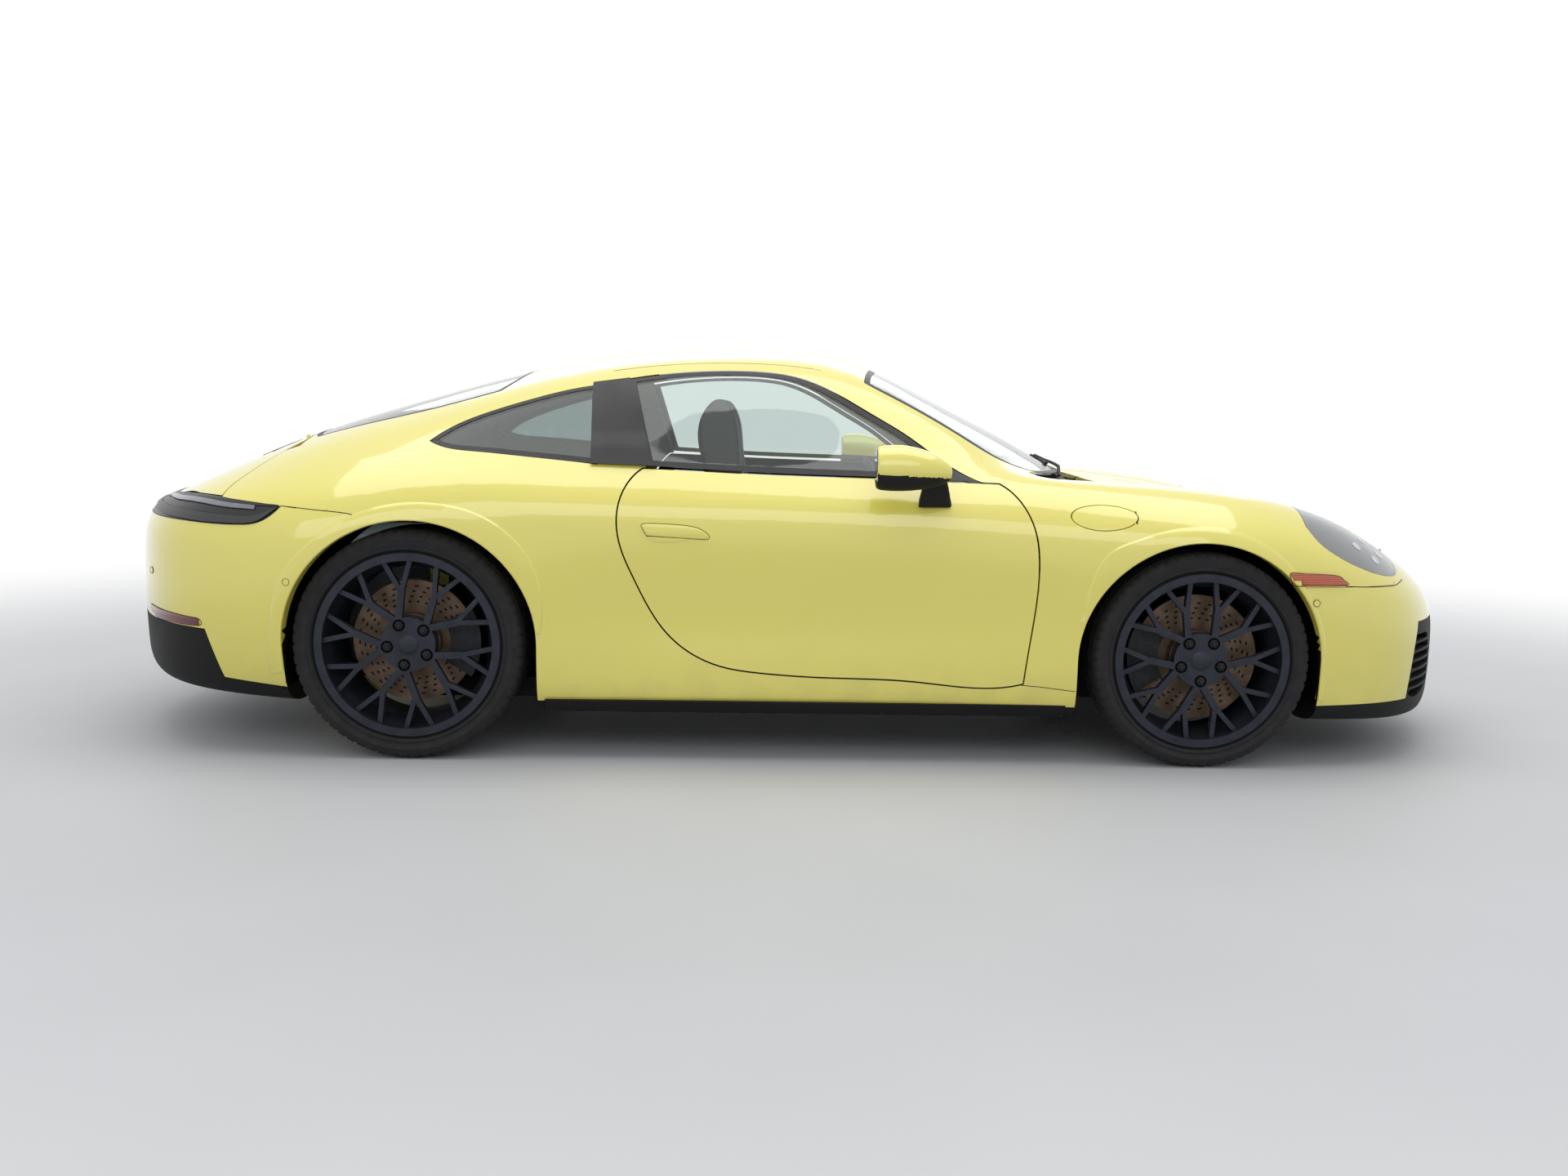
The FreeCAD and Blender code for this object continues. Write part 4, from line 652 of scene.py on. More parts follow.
def net(name, rows, finish, body="body", thickness=0.0, crease=40.0):
    """A sheet through rows of points, given a thickness where it is thin."""
    deselect()
    bpy.ops.mesh.primitive_grid_add(x_subdivisions=len(rows[0]) - 1, y_subdivisions=len(rows) - 1, size=1.0)
    piece = bpy.context.object
    for vertex, point in zip(piece.data.vertices, [p for row in rows for p in row]):
        vertex.co = point
    if thickness:
        modify(piece, "SOLIDIFY", thickness=thickness, offset=0.0)
    return settle(piece, name, finish, body, crease)


def loose_copy(node, name):
    """A merged copy of a node's mesh, to work on."""
    piece = bpy.data.objects.new(name, cad[node].data.copy())
    bpy.context.collection.objects.link(piece)
    take_up(piece)
    bpy.ops.object.mode_set(mode="EDIT")
    bpy.ops.mesh.select_all(action="SELECT")
    bpy.ops.mesh.customdata_custom_splitnormals_clear()
    bpy.ops.mesh.remove_doubles(threshold=0.00001)
    bpy.ops.object.mode_set(mode="OBJECT")
    return piece


def faces_where(piece, keep):
    """Leaves only the faces whose middle and direction pass a test."""
    mesh = bmesh.new()
    mesh.from_mesh(piece.data)
    gone = [face for face in mesh.faces if not keep(face.calc_center_median(), face.normal)]
    bmesh.ops.delete(mesh, geom=gone, context="FACES")
    count = len(mesh.faces)
    mesh.to_mesh(piece.data)
    mesh.free()
    return count


def coat(name, node, keep, finish, body="body", lift=0.0012):
    """A thin lining over the faces of a node that pass a test."""
    piece = loose_copy(node, name)
    if not faces_where(piece, keep):
        raise RuntimeError(name + " has no faces to cover")
    mesh = bmesh.new()
    mesh.from_mesh(piece.data)
    mesh.normal_update()
    for vertex, out in [(vertex, vertex.normal.copy()) for vertex in mesh.verts]:
        vertex.co += out * lift
    mesh.to_mesh(piece.data)
    mesh.free()
    modify(piece, "SOLIDIFY", thickness=bpy.context.scene.coupe_sizes.skin, offset=0.0)
    return settle(piece, name, finish, body, 30.0)


def pane_border(name, node, out_test, body="body"):
    """The black border printed round a pane."""
    sizes = bpy.context.scene.coupe_sizes
    piece = loose_copy(node, name)
    faces_where(piece, lambda middle, out: out_test(middle, out))
    take_up(piece)
    mesh = bmesh.new()
    mesh.from_mesh(piece.data)
    bmesh.ops.remove_doubles(mesh, verts=mesh.verts, dist=0.0005)
    ring = bmesh.ops.inset_region(
        mesh, faces=mesh.faces[:], thickness=sizes.border, use_boundary=True, use_even_offset=True)["faces"]
    kept = set(ring)
    bmesh.ops.delete(mesh, geom=[face for face in mesh.faces if face not in kept], context="FACES")
    mesh.normal_update()
    for vertex, out in [(vertex, vertex.normal.copy()) for vertex in mesh.verts]:
        vertex.co += out * 0.0009
    mesh.to_mesh(piece.data)
    mesh.free()
    modify(piece, "SOLIDIFY", thickness=sizes.skin, offset=0.0)
    return settle(piece, name, "frit", body)


def joined(pieces, name):
    """Several like pieces made into one."""
    take_up(pieces[0])
    for piece in pieces:
        piece.select_set(True)
    bpy.ops.object.join()
    piece = bpy.context.object
    piece.name = piece.data.name = name
    return piece


def ring_points(u, v, radius, count=20):
    return [(u + radius * math.cos(math.tau * k / count), v + radius * math.sin(math.tau * k / count))
            for k in range(count)]


def door_body(side):
    return "door_" + side + "_body"


class COUPE_OT_finishes(Operator):
    """Mix the finishes and give every node of the frame the finish of its slot"""
    bl_idname = "coupe.finishes"
    bl_label = "Finishes"

    def execute(self, context):
        mix_finishes(context.scene.coupe_colours)
        for name, node in cad.items():
            slot = node.material_slots[0].material.name.split(".")[0]
            if slot in ("tyre", "disc", "wheel_paint"):
                slot += "_" + name.split("_")[-1][0]
            elif name.startswith(("windscreen", "door_glass")):
                slot = "clear_glass"
            for holder in node.material_slots:
                holder.material = finishes[slot]
        return {"FINISHED"}


def tread_profile(half, radius, flange, seat, groove):
    """Half outline of a tyre from its bead over the sidewall to the middle of the tread."""
    line = [
        (flange - 0.008, -seat), (flange + 0.0035, -seat), (flange + 0.007, -seat - 0.006),
        (flange + 0.010, -half * 0.955), (flange + 0.013, -half * 0.985), (flange + 0.017, -half * 0.985),
        (flange + 0.020, -half * 0.962), (flange + (radius - flange) * 0.50, -half * 0.990),
        (flange + (radius - flange) * 0.56, -half * 1.0), (flange + (radius - flange) * 0.60, -half * 0.985),
        (radius - 0.022, -half * 0.975), (radius - 0.013, -half * 0.950), (radius - 0.0065, -half * 0.905),
        (radius - 0.0035, -half * 0.84),
    ]
    for middle, wide in ((0.66, 0.035), (0.24, 0.050)):
        drop = radius - 0.0028 * middle
        line += [(drop, -half * (middle + wide)), (drop - groove, -half * (middle + wide * 0.6)),
                 (drop - groove, -half * (middle - wide * 0.6)), (drop, -half * (middle - wide))]
        if middle > 0.5:
            line.append((radius - 0.001, -half * 0.45))
    return line


class COUPE_OT_tyres(Operator):
    """Turn the tyres with their ribs, tread grooves and the cuts across their shoulders"""
    bl_idname = "coupe.tyres"
    bl_label = "Tyres"

    def execute(self, context):
        sizes = context.scene.coupe_sizes
        steps = 320
        for tag, flange in (("f", 0.2715), ("r", 0.284)):
            for side, (_, way) in sides.items():
                low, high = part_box("tyre_" + tag + side)
                half, radius = (high[1] - low[1]) / 2, (high[2] - low[2]) / 2
                centre = Vector(((low[0] + high[0]) / 2, (low[1] + high[1]) / 2, (low[2] + high[2]) / 2))
                line = tread_profile(half, radius, flange, half - 0.020, sizes.groove)
                outline = line + [(r, -a) for r, a in reversed(line)]
                tyre = lathe("tread_" + tag + side, outline, centre, "tyre_" + tag, "wheel_" + tag + side, steps, 30)
                for vertex in tyre.data.vertices:
                    spoke = vertex.co - centre
                    far = math.hypot(spoke.x, spoke.z)
                    turn = round(math.atan2(spoke.z, spoke.x) / math.tau * steps)
                    share = abs(spoke.y) / half
                    if 0.72 < share < 0.965 and far > radius - 0.02 and turn % 5 == 0:
                        cut = 1 - sizes.sipe_depth / far
                    elif share < 0.6 and far > radius - 0.004 and turn % 10 == (0 if spoke.y > 0 else 5):
                        cut = 1 - sizes.sipe_depth * 0.6 / far
                    else:
                        continue
                    vertex.co = centre + Vector((spoke.x * cut, spoke.y, spoke.z * cut))
                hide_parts("tyre_" + tag + side)
        return {"FINISHED"}


class COUPE_OT_rims(Operator):
    """Break the sharp edges of the rims and their forked spokes"""
    bl_idname = "coupe.rims"
    bl_label = "Rims"

    def execute(self, context):
        for tag in axles:
            for side in sides:
                node = "rim_" + tag + side
                rim = loose_copy(node, "rim")
                modify(rim, "BEVEL", width=0.0022, segments=1, limit_method="ANGLE",
                       angle_limit=math.radians(60), use_clamp_overlap=True)
                settle(rim, "edged_" + node, "wheel_paint_" + tag, "wheel_" + tag + side, 30)
                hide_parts(node)
        return {"FINISHED"}


class COUPE_OT_hubs(Operator):
    """Set the bolts, near-black cups round them as painted shade in their recesses, and the plain caps in the wheels
    """
    bl_idname = "coupe.hubs"
    bl_label = "Wheel bolts and caps"

    def execute(self, context):
        sizes = context.scene.coupe_sizes
        for tag, axle in axles.items():
            for side, (view, way) in sides.items():
                wheel = tag + side
                rim = skin_of(["rim_" + wheel])
                body = "wheel_" + wheel
                heads, shade_cups = [], []
                for k in range(sizes.bolts):
                    turn = math.radians((127.0 if tag == "f" else 115.0) + k * 360 / sizes.bolts)
                    x = axle.x - way * 0 + sizes.bolt_circle * math.cos(turn)
                    z = axle.z + sizes.bolt_circle * math.sin(turn)
                    face = land(x, z, view, 0.0, rim)[0]
                    # Each bolt sits in a near-black cup: painted shade in the bolt's recess
                    shade_cup = [(0.0002, 0.0006 * way), (0.0155, 0.0006 * way), (0.0175, 0.0022 * way),
                           (0.0190, 0.0008 * way), (0.0190, -0.002 * way), (0.0002, -0.002 * way)]
                    shade_cups.append(lathe("cup_%s_%d" % (wheel, k), shade_cup, face, "lining", body, 28))
                    head = [(0.0002, 0.0105 * way), (0.0060, 0.0105 * way), (0.0068, 0.0070 * way),
                            (0.0080, 0.0105 * way), (0.0098, 0.0098 * way), (0.0104, 0.003 * way),
                            (0.0135, 0.0022 * way), (0.0138, 0.0004 * way), (0.0002, 0.0004 * way)]
                    heads.append(lathe("head_%s_%d" % (wheel, k), head, face, "dark_metal", body, 6, 20))
                joined(shade_cups, "bolt_cups_" + wheel)
                joined(heads, "bolts_" + wheel)
                face = land(axle.x, axle.z, view, 0.0, rim)[0]
                cap = [(0.0002, 0.0085 * way), (0.012, 0.0080 * way), (0.022, 0.0062 * way), (0.029, 0.0034 * way),
                       (0.0305, 0.0026 * way), (0.0312, 0.0012 * way), (0.0325, 0.0014 * way),
                       (0.0345, 0.0008 * way), (0.0350, -0.002 * way), (0.0002, -0.002 * way)]
                lathe("cap_" + wheel, cap, face, "wheel_paint_" + tag, body, 48)
        return {"FINISHED"}


flare_lines = {
    "f": (Vector((1.223, 0.328)), 0.377, [
        (0.862, 0.452), (0.873, 0.545), (0.922, 0.661), (1.034, 0.715), (1.160, 0.745), (1.288, 0.744),
        (1.371, 0.718), (1.470, 0.650), (1.563, 0.506), (1.602, 0.385), (1.618, 0.215)]),
    "r": (Vector((-1.206, 0.356)), 0.385, [
        (-0.812, 0.400), (-0.808, 0.520), (-0.850, 0.640), (-0.930, 0.722), (-1.020, 0.768), (-1.130, 0.788),
        (-1.251, 0.784), (-1.345, 0.760), (-1.431, 0.718), (-1.508, 0.655), (-1.560, 0.600), (-1.598, 0.520),
        (-1.622, 0.400), (-1.632, 0.262)]),
}


def arch_reach(turn, radius):
    """How far the arch's edge is from its centre, with upright legs below."""
    if math.sin(turn) < 0:
        return radius / abs(math.cos(turn))
    return radius


class COUPE_OT_flares(Operator):
    """Raise the flared bands round the wheel arches"""
    bl_idname = "coupe.flares"
    bl_label = "Arch flares"

    def execute(self, context):
        stand = context.scene.coupe_sizes.flare
        for tag, (centre, radius, line) in flare_lines.items():
            polar = []
            for x, z in line:
                turn = math.atan2(z - centre.y, x - centre.x)
                if polar and turn < polar[-1][0] - math.pi:
                    turn += math.tau
                polar.append((turn, math.hypot(x - centre.x, z - centre.y), 0))
            edge = smooth_run(polar, 8)
            for side, (view, way) in sides.items():
                rows = []
                for depth in range(7):
                    row = []
                    for turn, far, _ in edge:
                        near = arch_reach(turn, radius)
                        far = max(far, near + 0.012)
                        share = (-0.10, 0.0, 0.30, 0.65, 0.97, 1.0, 1.0)[depth]
                        out = (-0.30, 0.75, 0.90, 0.85, 0.60, 0.25, -4.2)[depth] * stand
                        at = far + (near + 0.0015 - far) * share if depth else far + 0.007
                        x, z = centre.x + at * math.cos(turn), centre.y + at * math.sin(turn)
                        spot, _ = land(x, z, view)
                        if abs(spot.y) < 0.7:
                            spot = Vector((x, row[-1].y if row else way * 0.87, z))
                        row.append(Vector((x, spot.y + way * out, z)))
                    rows.append(row)
                net("flare_" + tag + side, rows, "paint", "body", 0.0012, 28)
        return {"FINISHED"}


def hidden(middle, out):
    """Whether a face looks at the car's own inside, not out of it."""
    _, _, _, far = skin.ray_cast(middle + out * 0.0005, out, 4.0)
    return far is not None and far > 0.02


def in_cabin(middle):
    return -1.25 < middle.x < 0.98 and abs(middle.y) < 0.88 and middle.z > 0.19


class COUPE_OT_linings(Operator):
    """Line the wheel wells, the cabin and the inner side of the panels, doors and lids"""
    bl_idname = "coupe.linings"
    bl_label = "Linings"

    def execute(self, context):
        for node in ("body_shell", "fender_r", "fender_l", "front_bumper", "rear_bumper"):
            coat("lining_" + node, node, lambda m, n: hidden(m, n) and not in_cabin(m), "lining")
        coat("mouth_lining", "front_bumper",
             lambda m, n: m.x > 1.70 and 0.15 < m.z < 0.50 and n.y * m.y < -0.02, "lining")
        coat("headliner", "body_shell",
             lambda m, n: in_cabin(m) and (hidden(m, n) or n.z > 0.5 and m.z < 0.45), "trim")
        for side, (_, way) in sides.items():
            coat("door_card_" + side, "door_" + side,
                 lambda m, n: n.y * way < -0.25 or n.z < 0.7 and hidden(m, n), "trim", door_body(side))
        coat("lid_lining_front", "front_lid", lambda m, n: n.z < -0.3, "lining", "front_lid_body")
        coat("lid_lining_rear", "rear_lid", lambda m, n: n.z < -0.3, "lining", "rear_lid_body")
        for tag, (centre, radius, _) in flare_lines.items():
            deep = radius + 0.011
            for side, (_, way) in sides.items():
                round_part = [(centre.x + deep * math.cos(math.pi * k / 40), centre.y + deep * math.sin(math.pi * k / 40))
                              for k in range(41)]
                line = [(centre.x + deep, 0.21)] + round_part + [(centre.x - deep, 0.21)]
                rows = [[Vector((x, way * y, z)) for x, z in line] for y in (0.462, 0.60, 0.74, 0.858)]
                net("well_" + tag + side, rows, "lining", "body", 0.0015)
        return {"FINISHED"}


class COUPE_OT_seams(Operator):
    """Draw the fine joint lines between the panels"""
    bl_idname = "coupe.seams"
    bl_label = "Panel joints"

    def execute(self, context):
        for side, (view, way) in sides.items():
            seam("seam_tail_" + side, [(-1.594, 0.777), (-1.491, 0.768), (-1.377, 0.757), (-1.312, 0.730)], view)
            seam("seam_nose_" + side,
                 [(1.668, 0.576), (1.740, 0.572), (1.810, 0.570), (1.870, 0.570), (1.915, 0.582)], view)
            seam("handle_gap_" + side,
                 [(-0.502, 0.736), (-0.485, 0.7415), (-0.427, 0.7405), (-0.368, 0.7365), (-0.330, 0.7295),
                  (-0.305, 0.7160), (-0.294, 0.7035), (-0.302, 0.6945), (-0.344, 0.6955), (-0.427, 0.6995),
                  (-0.480, 0.7025), (-0.4925, 0.715)], view, door_body(side), closed=True, radius=0.0010)
            for tag, u, v in (("a", -1.567, 0.551), ("b", 1.569, 0.526), ("c", -2.065, 0.554)):
                ring = ring_points(u, v, 0.0095)
                lift = 0.0045 if tag != "c" else 0.001
                patch("sensor_%s_%s" % (tag, side), ring, view, "paint", lift=lift, thickness=0.0012, pitch=0.02)
                spots = [land(a, b, view, lift + 0.0004)[0] for a, b in ring_points(u, v, 0.0105)]
                hose("sensor_ring_%s_%s" % (tag, side), spots, 0.0008, "seam", closed=True, sides_round=1)
            seam("sill_joint_" + side, [(0.676, 0.254), (0.730, 0.250), (0.790, 0.243), (0.842, 0.237)], view,
                 radius=0.0013)
            seam("roof_joint_" + side, [(-0.62, way * 0.520), (-0.30, way * 0.508), (0.05, way * 0.530)], "top",
                 radius=0.0013)
        return {"FINISHED"}


class COUPE_OT_windows(Operator):
    """Print the black borders of the panes and cover the pillars between them"""
    bl_idname = "coupe.windows"
    bl_label = "Pane borders and pillars"

    def execute(self, context):
        for side, (view, way) in sides.items():
            outward = lambda m, n: n.y * way > 0.25
            pane_border("border_door_" + side, "door_glass_" + side, outward, door_body(side))
            pane_border("border_quarter_" + side, "quarter_glass_" + side, outward)
            rows = []
            for k in range(13):
                share = k / 12
                fore, back = -0.484 - 0.094 * share, -0.648 - 0.014 * share
                ahead = land(fore + 0.016, 0.912 + 0.272 * share, view)[0]
                behind = land(back - 0.016, 0.918 + 0.250 * share, view)[0]
                row = [behind.lerp(ahead, step / 8) for step in range(9)]
                proud = max(way * (land(spot.x, spot.z, view)[0].y - spot.y) for spot in row)
                rows.append([spot + Vector((0, way * (min(proud, 0.012) + 0.0016), 0)) for spot in row])
            net("pillar_" + side, rows, "frit", "body", 0.002)
        pane_border("border_screen", "windscreen", lambda m, n: n.z > 0.2)
        pane_border("border_rear", "rear_window", lambda m, n: n.z > 0.2)
        return {"FINISHED"}


class COUPE_OT_handles(Operator):
    """Fit the flush door handles"""
    bl_idname = "coupe.handles"
    bl_label = "Door handles"

    def execute(self, context):
        for side, (view, way) in sides.items():
            patch("handle_" + side, [
                (-0.499, 0.734), (-0.484, 0.739), (-0.427, 0.738), (-0.368, 0.734), (-0.331, 0.727),
                (-0.307, 0.714), (-0.297, 0.703), (-0.303, 0.697), (-0.344, 0.698), (-0.427, 0.702),
                (-0.478, 0.705), (-0.490, 0.716)],
                view, "paint", door_body(side), lift=0.0035, thickness=0.008, pitch=0.02, edge=0.0022)
            patch("handle_scoop_" + side, [
                (-0.484, 0.702), (-0.427, 0.699), (-0.356, 0.696), (-0.372, 0.688), (-0.404, 0.683),
                (-0.450, 0.683), (-0.474, 0.690)],
                view, "paint", door_body(side), lift=0.0008, thickness=0.003, pitch=0.02, edge=0.001)
            seam("handle_shade_" + side, [
                (-0.486, 0.7025), (-0.427, 0.6990), (-0.356, 0.6955)],
                view, radius=0.0016, body=door_body(side))
        return {"FINISHED"}


class COUPE_OT_markers(Operator):
    """Fit the amber side markers and the red rear reflectors"""
    bl_idname = "coupe.markers"
    bl_label = "Markers and reflectors"

    def execute(self, context):
        for side, (view, way) in sides.items():
            amber = [(1.480, 0.617), (1.530, 0.616), (1.590, 0.613), (1.640, 0.607), (1.660, 0.594),
                     (1.673, 0.580), (1.600, 0.579), (1.540, 0.580), (1.500, 0.581)]
            patch("marker_" + side, amber, view, "amber", lift=0.0055, thickness=0.003, edge=0.0008)
            seam("marker_gap_" + side, amber, view, closed=True, radius=0.0012, sink=-4.5)
            red = [(-2.082, 0.442), (-1.985, 0.437), (-1.900, 0.430), (-1.857, 0.425), (-1.856, 0.405),
                   (-1.950, 0.405), (-2.055, 0.410)]
            patch("reflector_" + side, red, view, "reflector", lift=0.002, thickness=0.003, edge=0.0008)
            seam("reflector_gap_" + side, red, view, closed=True, radius=0.0016)
        return {"FINISHED"}


def ribbon(name, top, bottom, low, high, finish, lift=0.002, thickness=0.003, rows=3):
    """A band laid round the tail between two shares of the way from one line down to another."""
    tops, bottoms = smooth_run(top, 6), smooth_run(bottom, 6)
    net_rows = []
    for k in range(rows + 1):
        share = low + (high - low) * k / rows
        row = []
        for a, b in zip(tops, bottoms):
            hit, out, _, _ = skin.find_nearest(a.lerp(b, share))
            if out.dot(Vector((-1, a.y, 0.2))) < 0:
                out = -out
            row.append(hit + out * lift)
        net_rows.append(row)
    return net(name, net_rows, finish, "body", thickness, 50)


tail_top = [(-1.600, 0.868, 0.777), (-1.675, 0.845, 0.785), (-1.764, 0.806, 0.793), (-1.880, 0.715, 0.797),
            (-1.971, 0.608, 0.798), (-2.060, 0.440, 0.798), (-2.110, 0.220, 0.798), (-2.125, 0.0, 0.798)]
tail_low = [(-1.606, 0.874, 0.768), (-1.675, 0.885, 0.724), (-1.802, 0.853, 0.720), (-1.905, 0.800, 0.724),
            (-2.012, 0.698, 0.732), (-2.110, 0.480, 0.736), (-2.160, 0.240, 0.738), (-2.170, 0.0, 0.738)]


class COUPE_OT_tail_lamp(Operator):
    """Build up the smoked tail lamp: top slot, light blade, recess and lower lip"""
    bl_idname = "coupe.tail_lamp"
    bl_label = "Tail lamp"

    def execute(self, context):
        tops = tail_top + [(x, -y, z) for x, y, z in reversed(tail_top[:-1])]
        lows = tail_low + [(x, -y, z) for x, y, z in reversed(tail_low[:-1])]
        ribbon("tail_slot", tops, lows, 0.02, 0.18, "gloss_black", 0.0015, 0.002)
        ribbon("tail_recess", tops, lows, 0.42, 0.66, "gloss_black", 0.0012, 0.002)
        ribbon("tail_lip", tops, lows, 0.68, 0.97, "lip", 0.003, 0.005)
        for side, (_, way) in sides.items():
            top = [(x, y * way, z) for x, y, z in tail_top[1:6]]
            low = [(x, y * way, z) for x, y, z in tail_low[1:6]]
            ribbon("tail_blade_" + side, top, low, 0.22, 0.40, "blade", 0.004, 0.005)
        middle = [(x, y, z) for x, y, z in tops if abs(y) < 0.5]
        under = [(x, y, z) for x, y, z in lows if abs(y) < 0.5]
        ribbon("tail_bar", middle, under, 0.22, 0.40, "reflector", 0.003, 0.004)
        return {"FINISHED"}


class COUPE_OT_headlamps(Operator):
    """Put the dark bowls and the lens cells behind the clear headlamp covers"""
    bl_idname = "coupe.headlamps"
    bl_label = "Headlamps"

    def execute(self, context):
        for side, (_, way) in sides.items():
            node = "headlamp_" + side
            bowl = loose_copy(node, "bowl")
            mesh = bmesh.new()
            mesh.from_mesh(bowl.data)
            mesh.normal_update()
            for vertex, out in [(vertex, vertex.normal.copy()) for vertex in mesh.verts]:
                vertex.co -= out * 0.006
            mesh.to_mesh(bowl.data)
            mesh.free()
            settle(bowl, "lamp_bowl_" + side, "lamp_bowl")
            cover = skin_of([node])
            low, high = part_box(node)
            dots = []
            for k, (share_y, share_z) in enumerate(((0.40, 0.52), (0.66, 0.46), (0.44, 0.30), (0.64, 0.25))):
                y = low[1] + (high[1] - low[1]) * (share_y if way > 0 else 1 - share_y)
                z = low[2] + (high[2] - low[2]) * share_z
                spot, out = land(y, z, "front", -0.004, cover)
                deselect()
                bpy.ops.mesh.primitive_uv_sphere_add(segments=24, ring_count=12, radius=0.017, location=spot)
                dot = bpy.context.object
                turn = Vector((0, 0, 1)).rotation_difference(out).to_matrix()
                for vertex in dot.data.vertices:
                    vertex.co = turn @ Vector((vertex.co.x, vertex.co.y, vertex.co.z * 0.16))
                dots.append(settle(dot, "cell_%s_%d" % (side, k), "lens_dot"))
            joined(dots, "lamp_cells_" + side)
        return {"FINISHED"}


class COUPE_OT_mirrors(Operator):
    """Round the mirror shells off, with black lower halves and silvered glass"""
    bl_idname = "coupe.mirrors"
    bl_label = "Mirrors"

    def execute(self, context):
        for side in sides:
            node = "mirror_" + side
            low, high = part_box(node)
            shell = loose_copy(node, "shell")
            modify(shell, "REMESH", mode="VOXEL", voxel_size=0.005, use_smooth_shade=True)
            modify(shell, "SMOOTH", factor=0.5, iterations=26)
            settle(shell, "mirror_shell_" + side, "paint", door_body(side), 180.0)
            for finish in ("black_plastic", "mirror_face"):
                shell.data.materials.append(finishes[finish])
            waist = low[2] + (high[2] - low[2]) * 0.55
            for face in shell.data.polygons:
                rise = face.center.z + (face.center.x - low[0]) * 0.05
                if face.normal.x < -0.9 and face.center.z > waist - 0.02:
                    face.material_index = 2
                elif rise < waist:
                    face.material_index = 1
            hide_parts(node)
        return {"FINISHED"}


class COUPE_OT_wipers(Operator):
    """Lay the wiper arms and blades at the foot of the windscreen"""
    bl_idname = "coupe.wipers"
    bl_label = "Wipers"

    def execute(self, context):
        foot = {}
        for vertex in cad["windscreen"].data.vertices:
            key = round(vertex.co.y / 0.05)
            foot[key] = max(foot.get(key, -9), vertex.co.x)

        def near_foot(y, back):
            return foot[round(y / 0.05)] - back

        for tag, pivot, tip in (("near", 0.16, 0.60), ("away", -0.48, 0.02)):
            ys = [pivot + (tip - pivot) * k / 10 for k in range(11)]
            arm = [land(near_foot(y, -0.012 + 0.05 * k / 10), y, "top", 0.014)[0] for k, y in enumerate(ys)]
            hose("wiper_arm_" + tag, arm, 0.0055, "rubber")
            spread = [tip - 0.34 + 0.36 * k / 14 for k in range(15)]
            blade = [land(near_foot(y, 0.045), y, "top", 0.006)[0] for y in spread if round(y / 0.05) in foot]
            hose("wiper_blade_" + tag, blade, 0.006, "rubber")
        return {"FINISHED"}


class COUPE_OT_grille(Operator):
    """Blacken the louvres of the rear lid"""
    bl_idname = "coupe.grille"
    bl_label = "Lid grille"

    def execute(self, context):
        def on_grille(middle, out):
            return -1.805 < middle.x < -1.700 and abs(middle.y) < 0.385 and out.z > -0.3

        coat("louvres", "rear_lid", on_grille, "black_plastic", "rear_lid_body", 0.001)
        return {"FINISHED"}


class COUPE_OT_sills(Operator):
    """Hang the black blades under the sills"""
    bl_idname = "coupe.sills"
    bl_label = "Sill blades"

    def execute(self, context):
        for side, (_, way) in sides.items():
            def lean(corner):
                if corner.z < 0.16:
                    return Vector((corner.x, corner.y - way * 0.030, corner.z))
                return corner.copy()

            low_y, high_y = sorted((way * 0.800, way * 0.868))
            block("sill_blade_" + side, (-0.800, low_y, 0.148), (0.820, high_y, 0.190), "black_plastic",
                  edge=0.005, shape=lean)
        return {"FINISHED"}


class COUPE_OT_cabin(Operator):
    """Fit dials, screen and vents to the dashboard"""
    bl_idname = "coupe.cabin"
    bl_label = "Cabin"

    def execute(self, context):
        dash = skin_of(["dashboard"])
        low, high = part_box("dashboard")
        top = high[2]
        for k in range(5):
            y = 0.37 + (k - 2) * 0.066
            size = 0.040 if k == 2 else 0.031
            z = top - 0.075
            patch("dial_%d" % k, ring_points(y, z, size, 32), "rear", "screen", lift=0.002, thickness=0.003,
                  tree=dash)
            rim = [land(a, b, "rear", 0.004, dash)[0] for a, b in ring_points(y, z, size, 32)]
            hose("dial_rim_%d" % k, rim, 0.0016, "chrome", closed=True)
        patch("screen", [(-0.13, top - 0.12), (0.13, top - 0.12), (0.13, top - 0.04), (-0.13, top - 0.04)],
              "rear", "screen", lift=0.003, thickness=0.004, edge=0.001, tree=dash)
        for k, y in enumerate((-0.60, -0.30, 0.62)):
            patch("vent_%d" % k, [(y - 0.05, top - 0.105), (y + 0.05, top - 0.105), (y + 0.05, top - 0.075),
                                  (y - 0.05, top - 0.075)], "rear", "gloss_black", lift=0.002, thickness=0.003,
                  tree=dash)
        return {"FINISHED"}


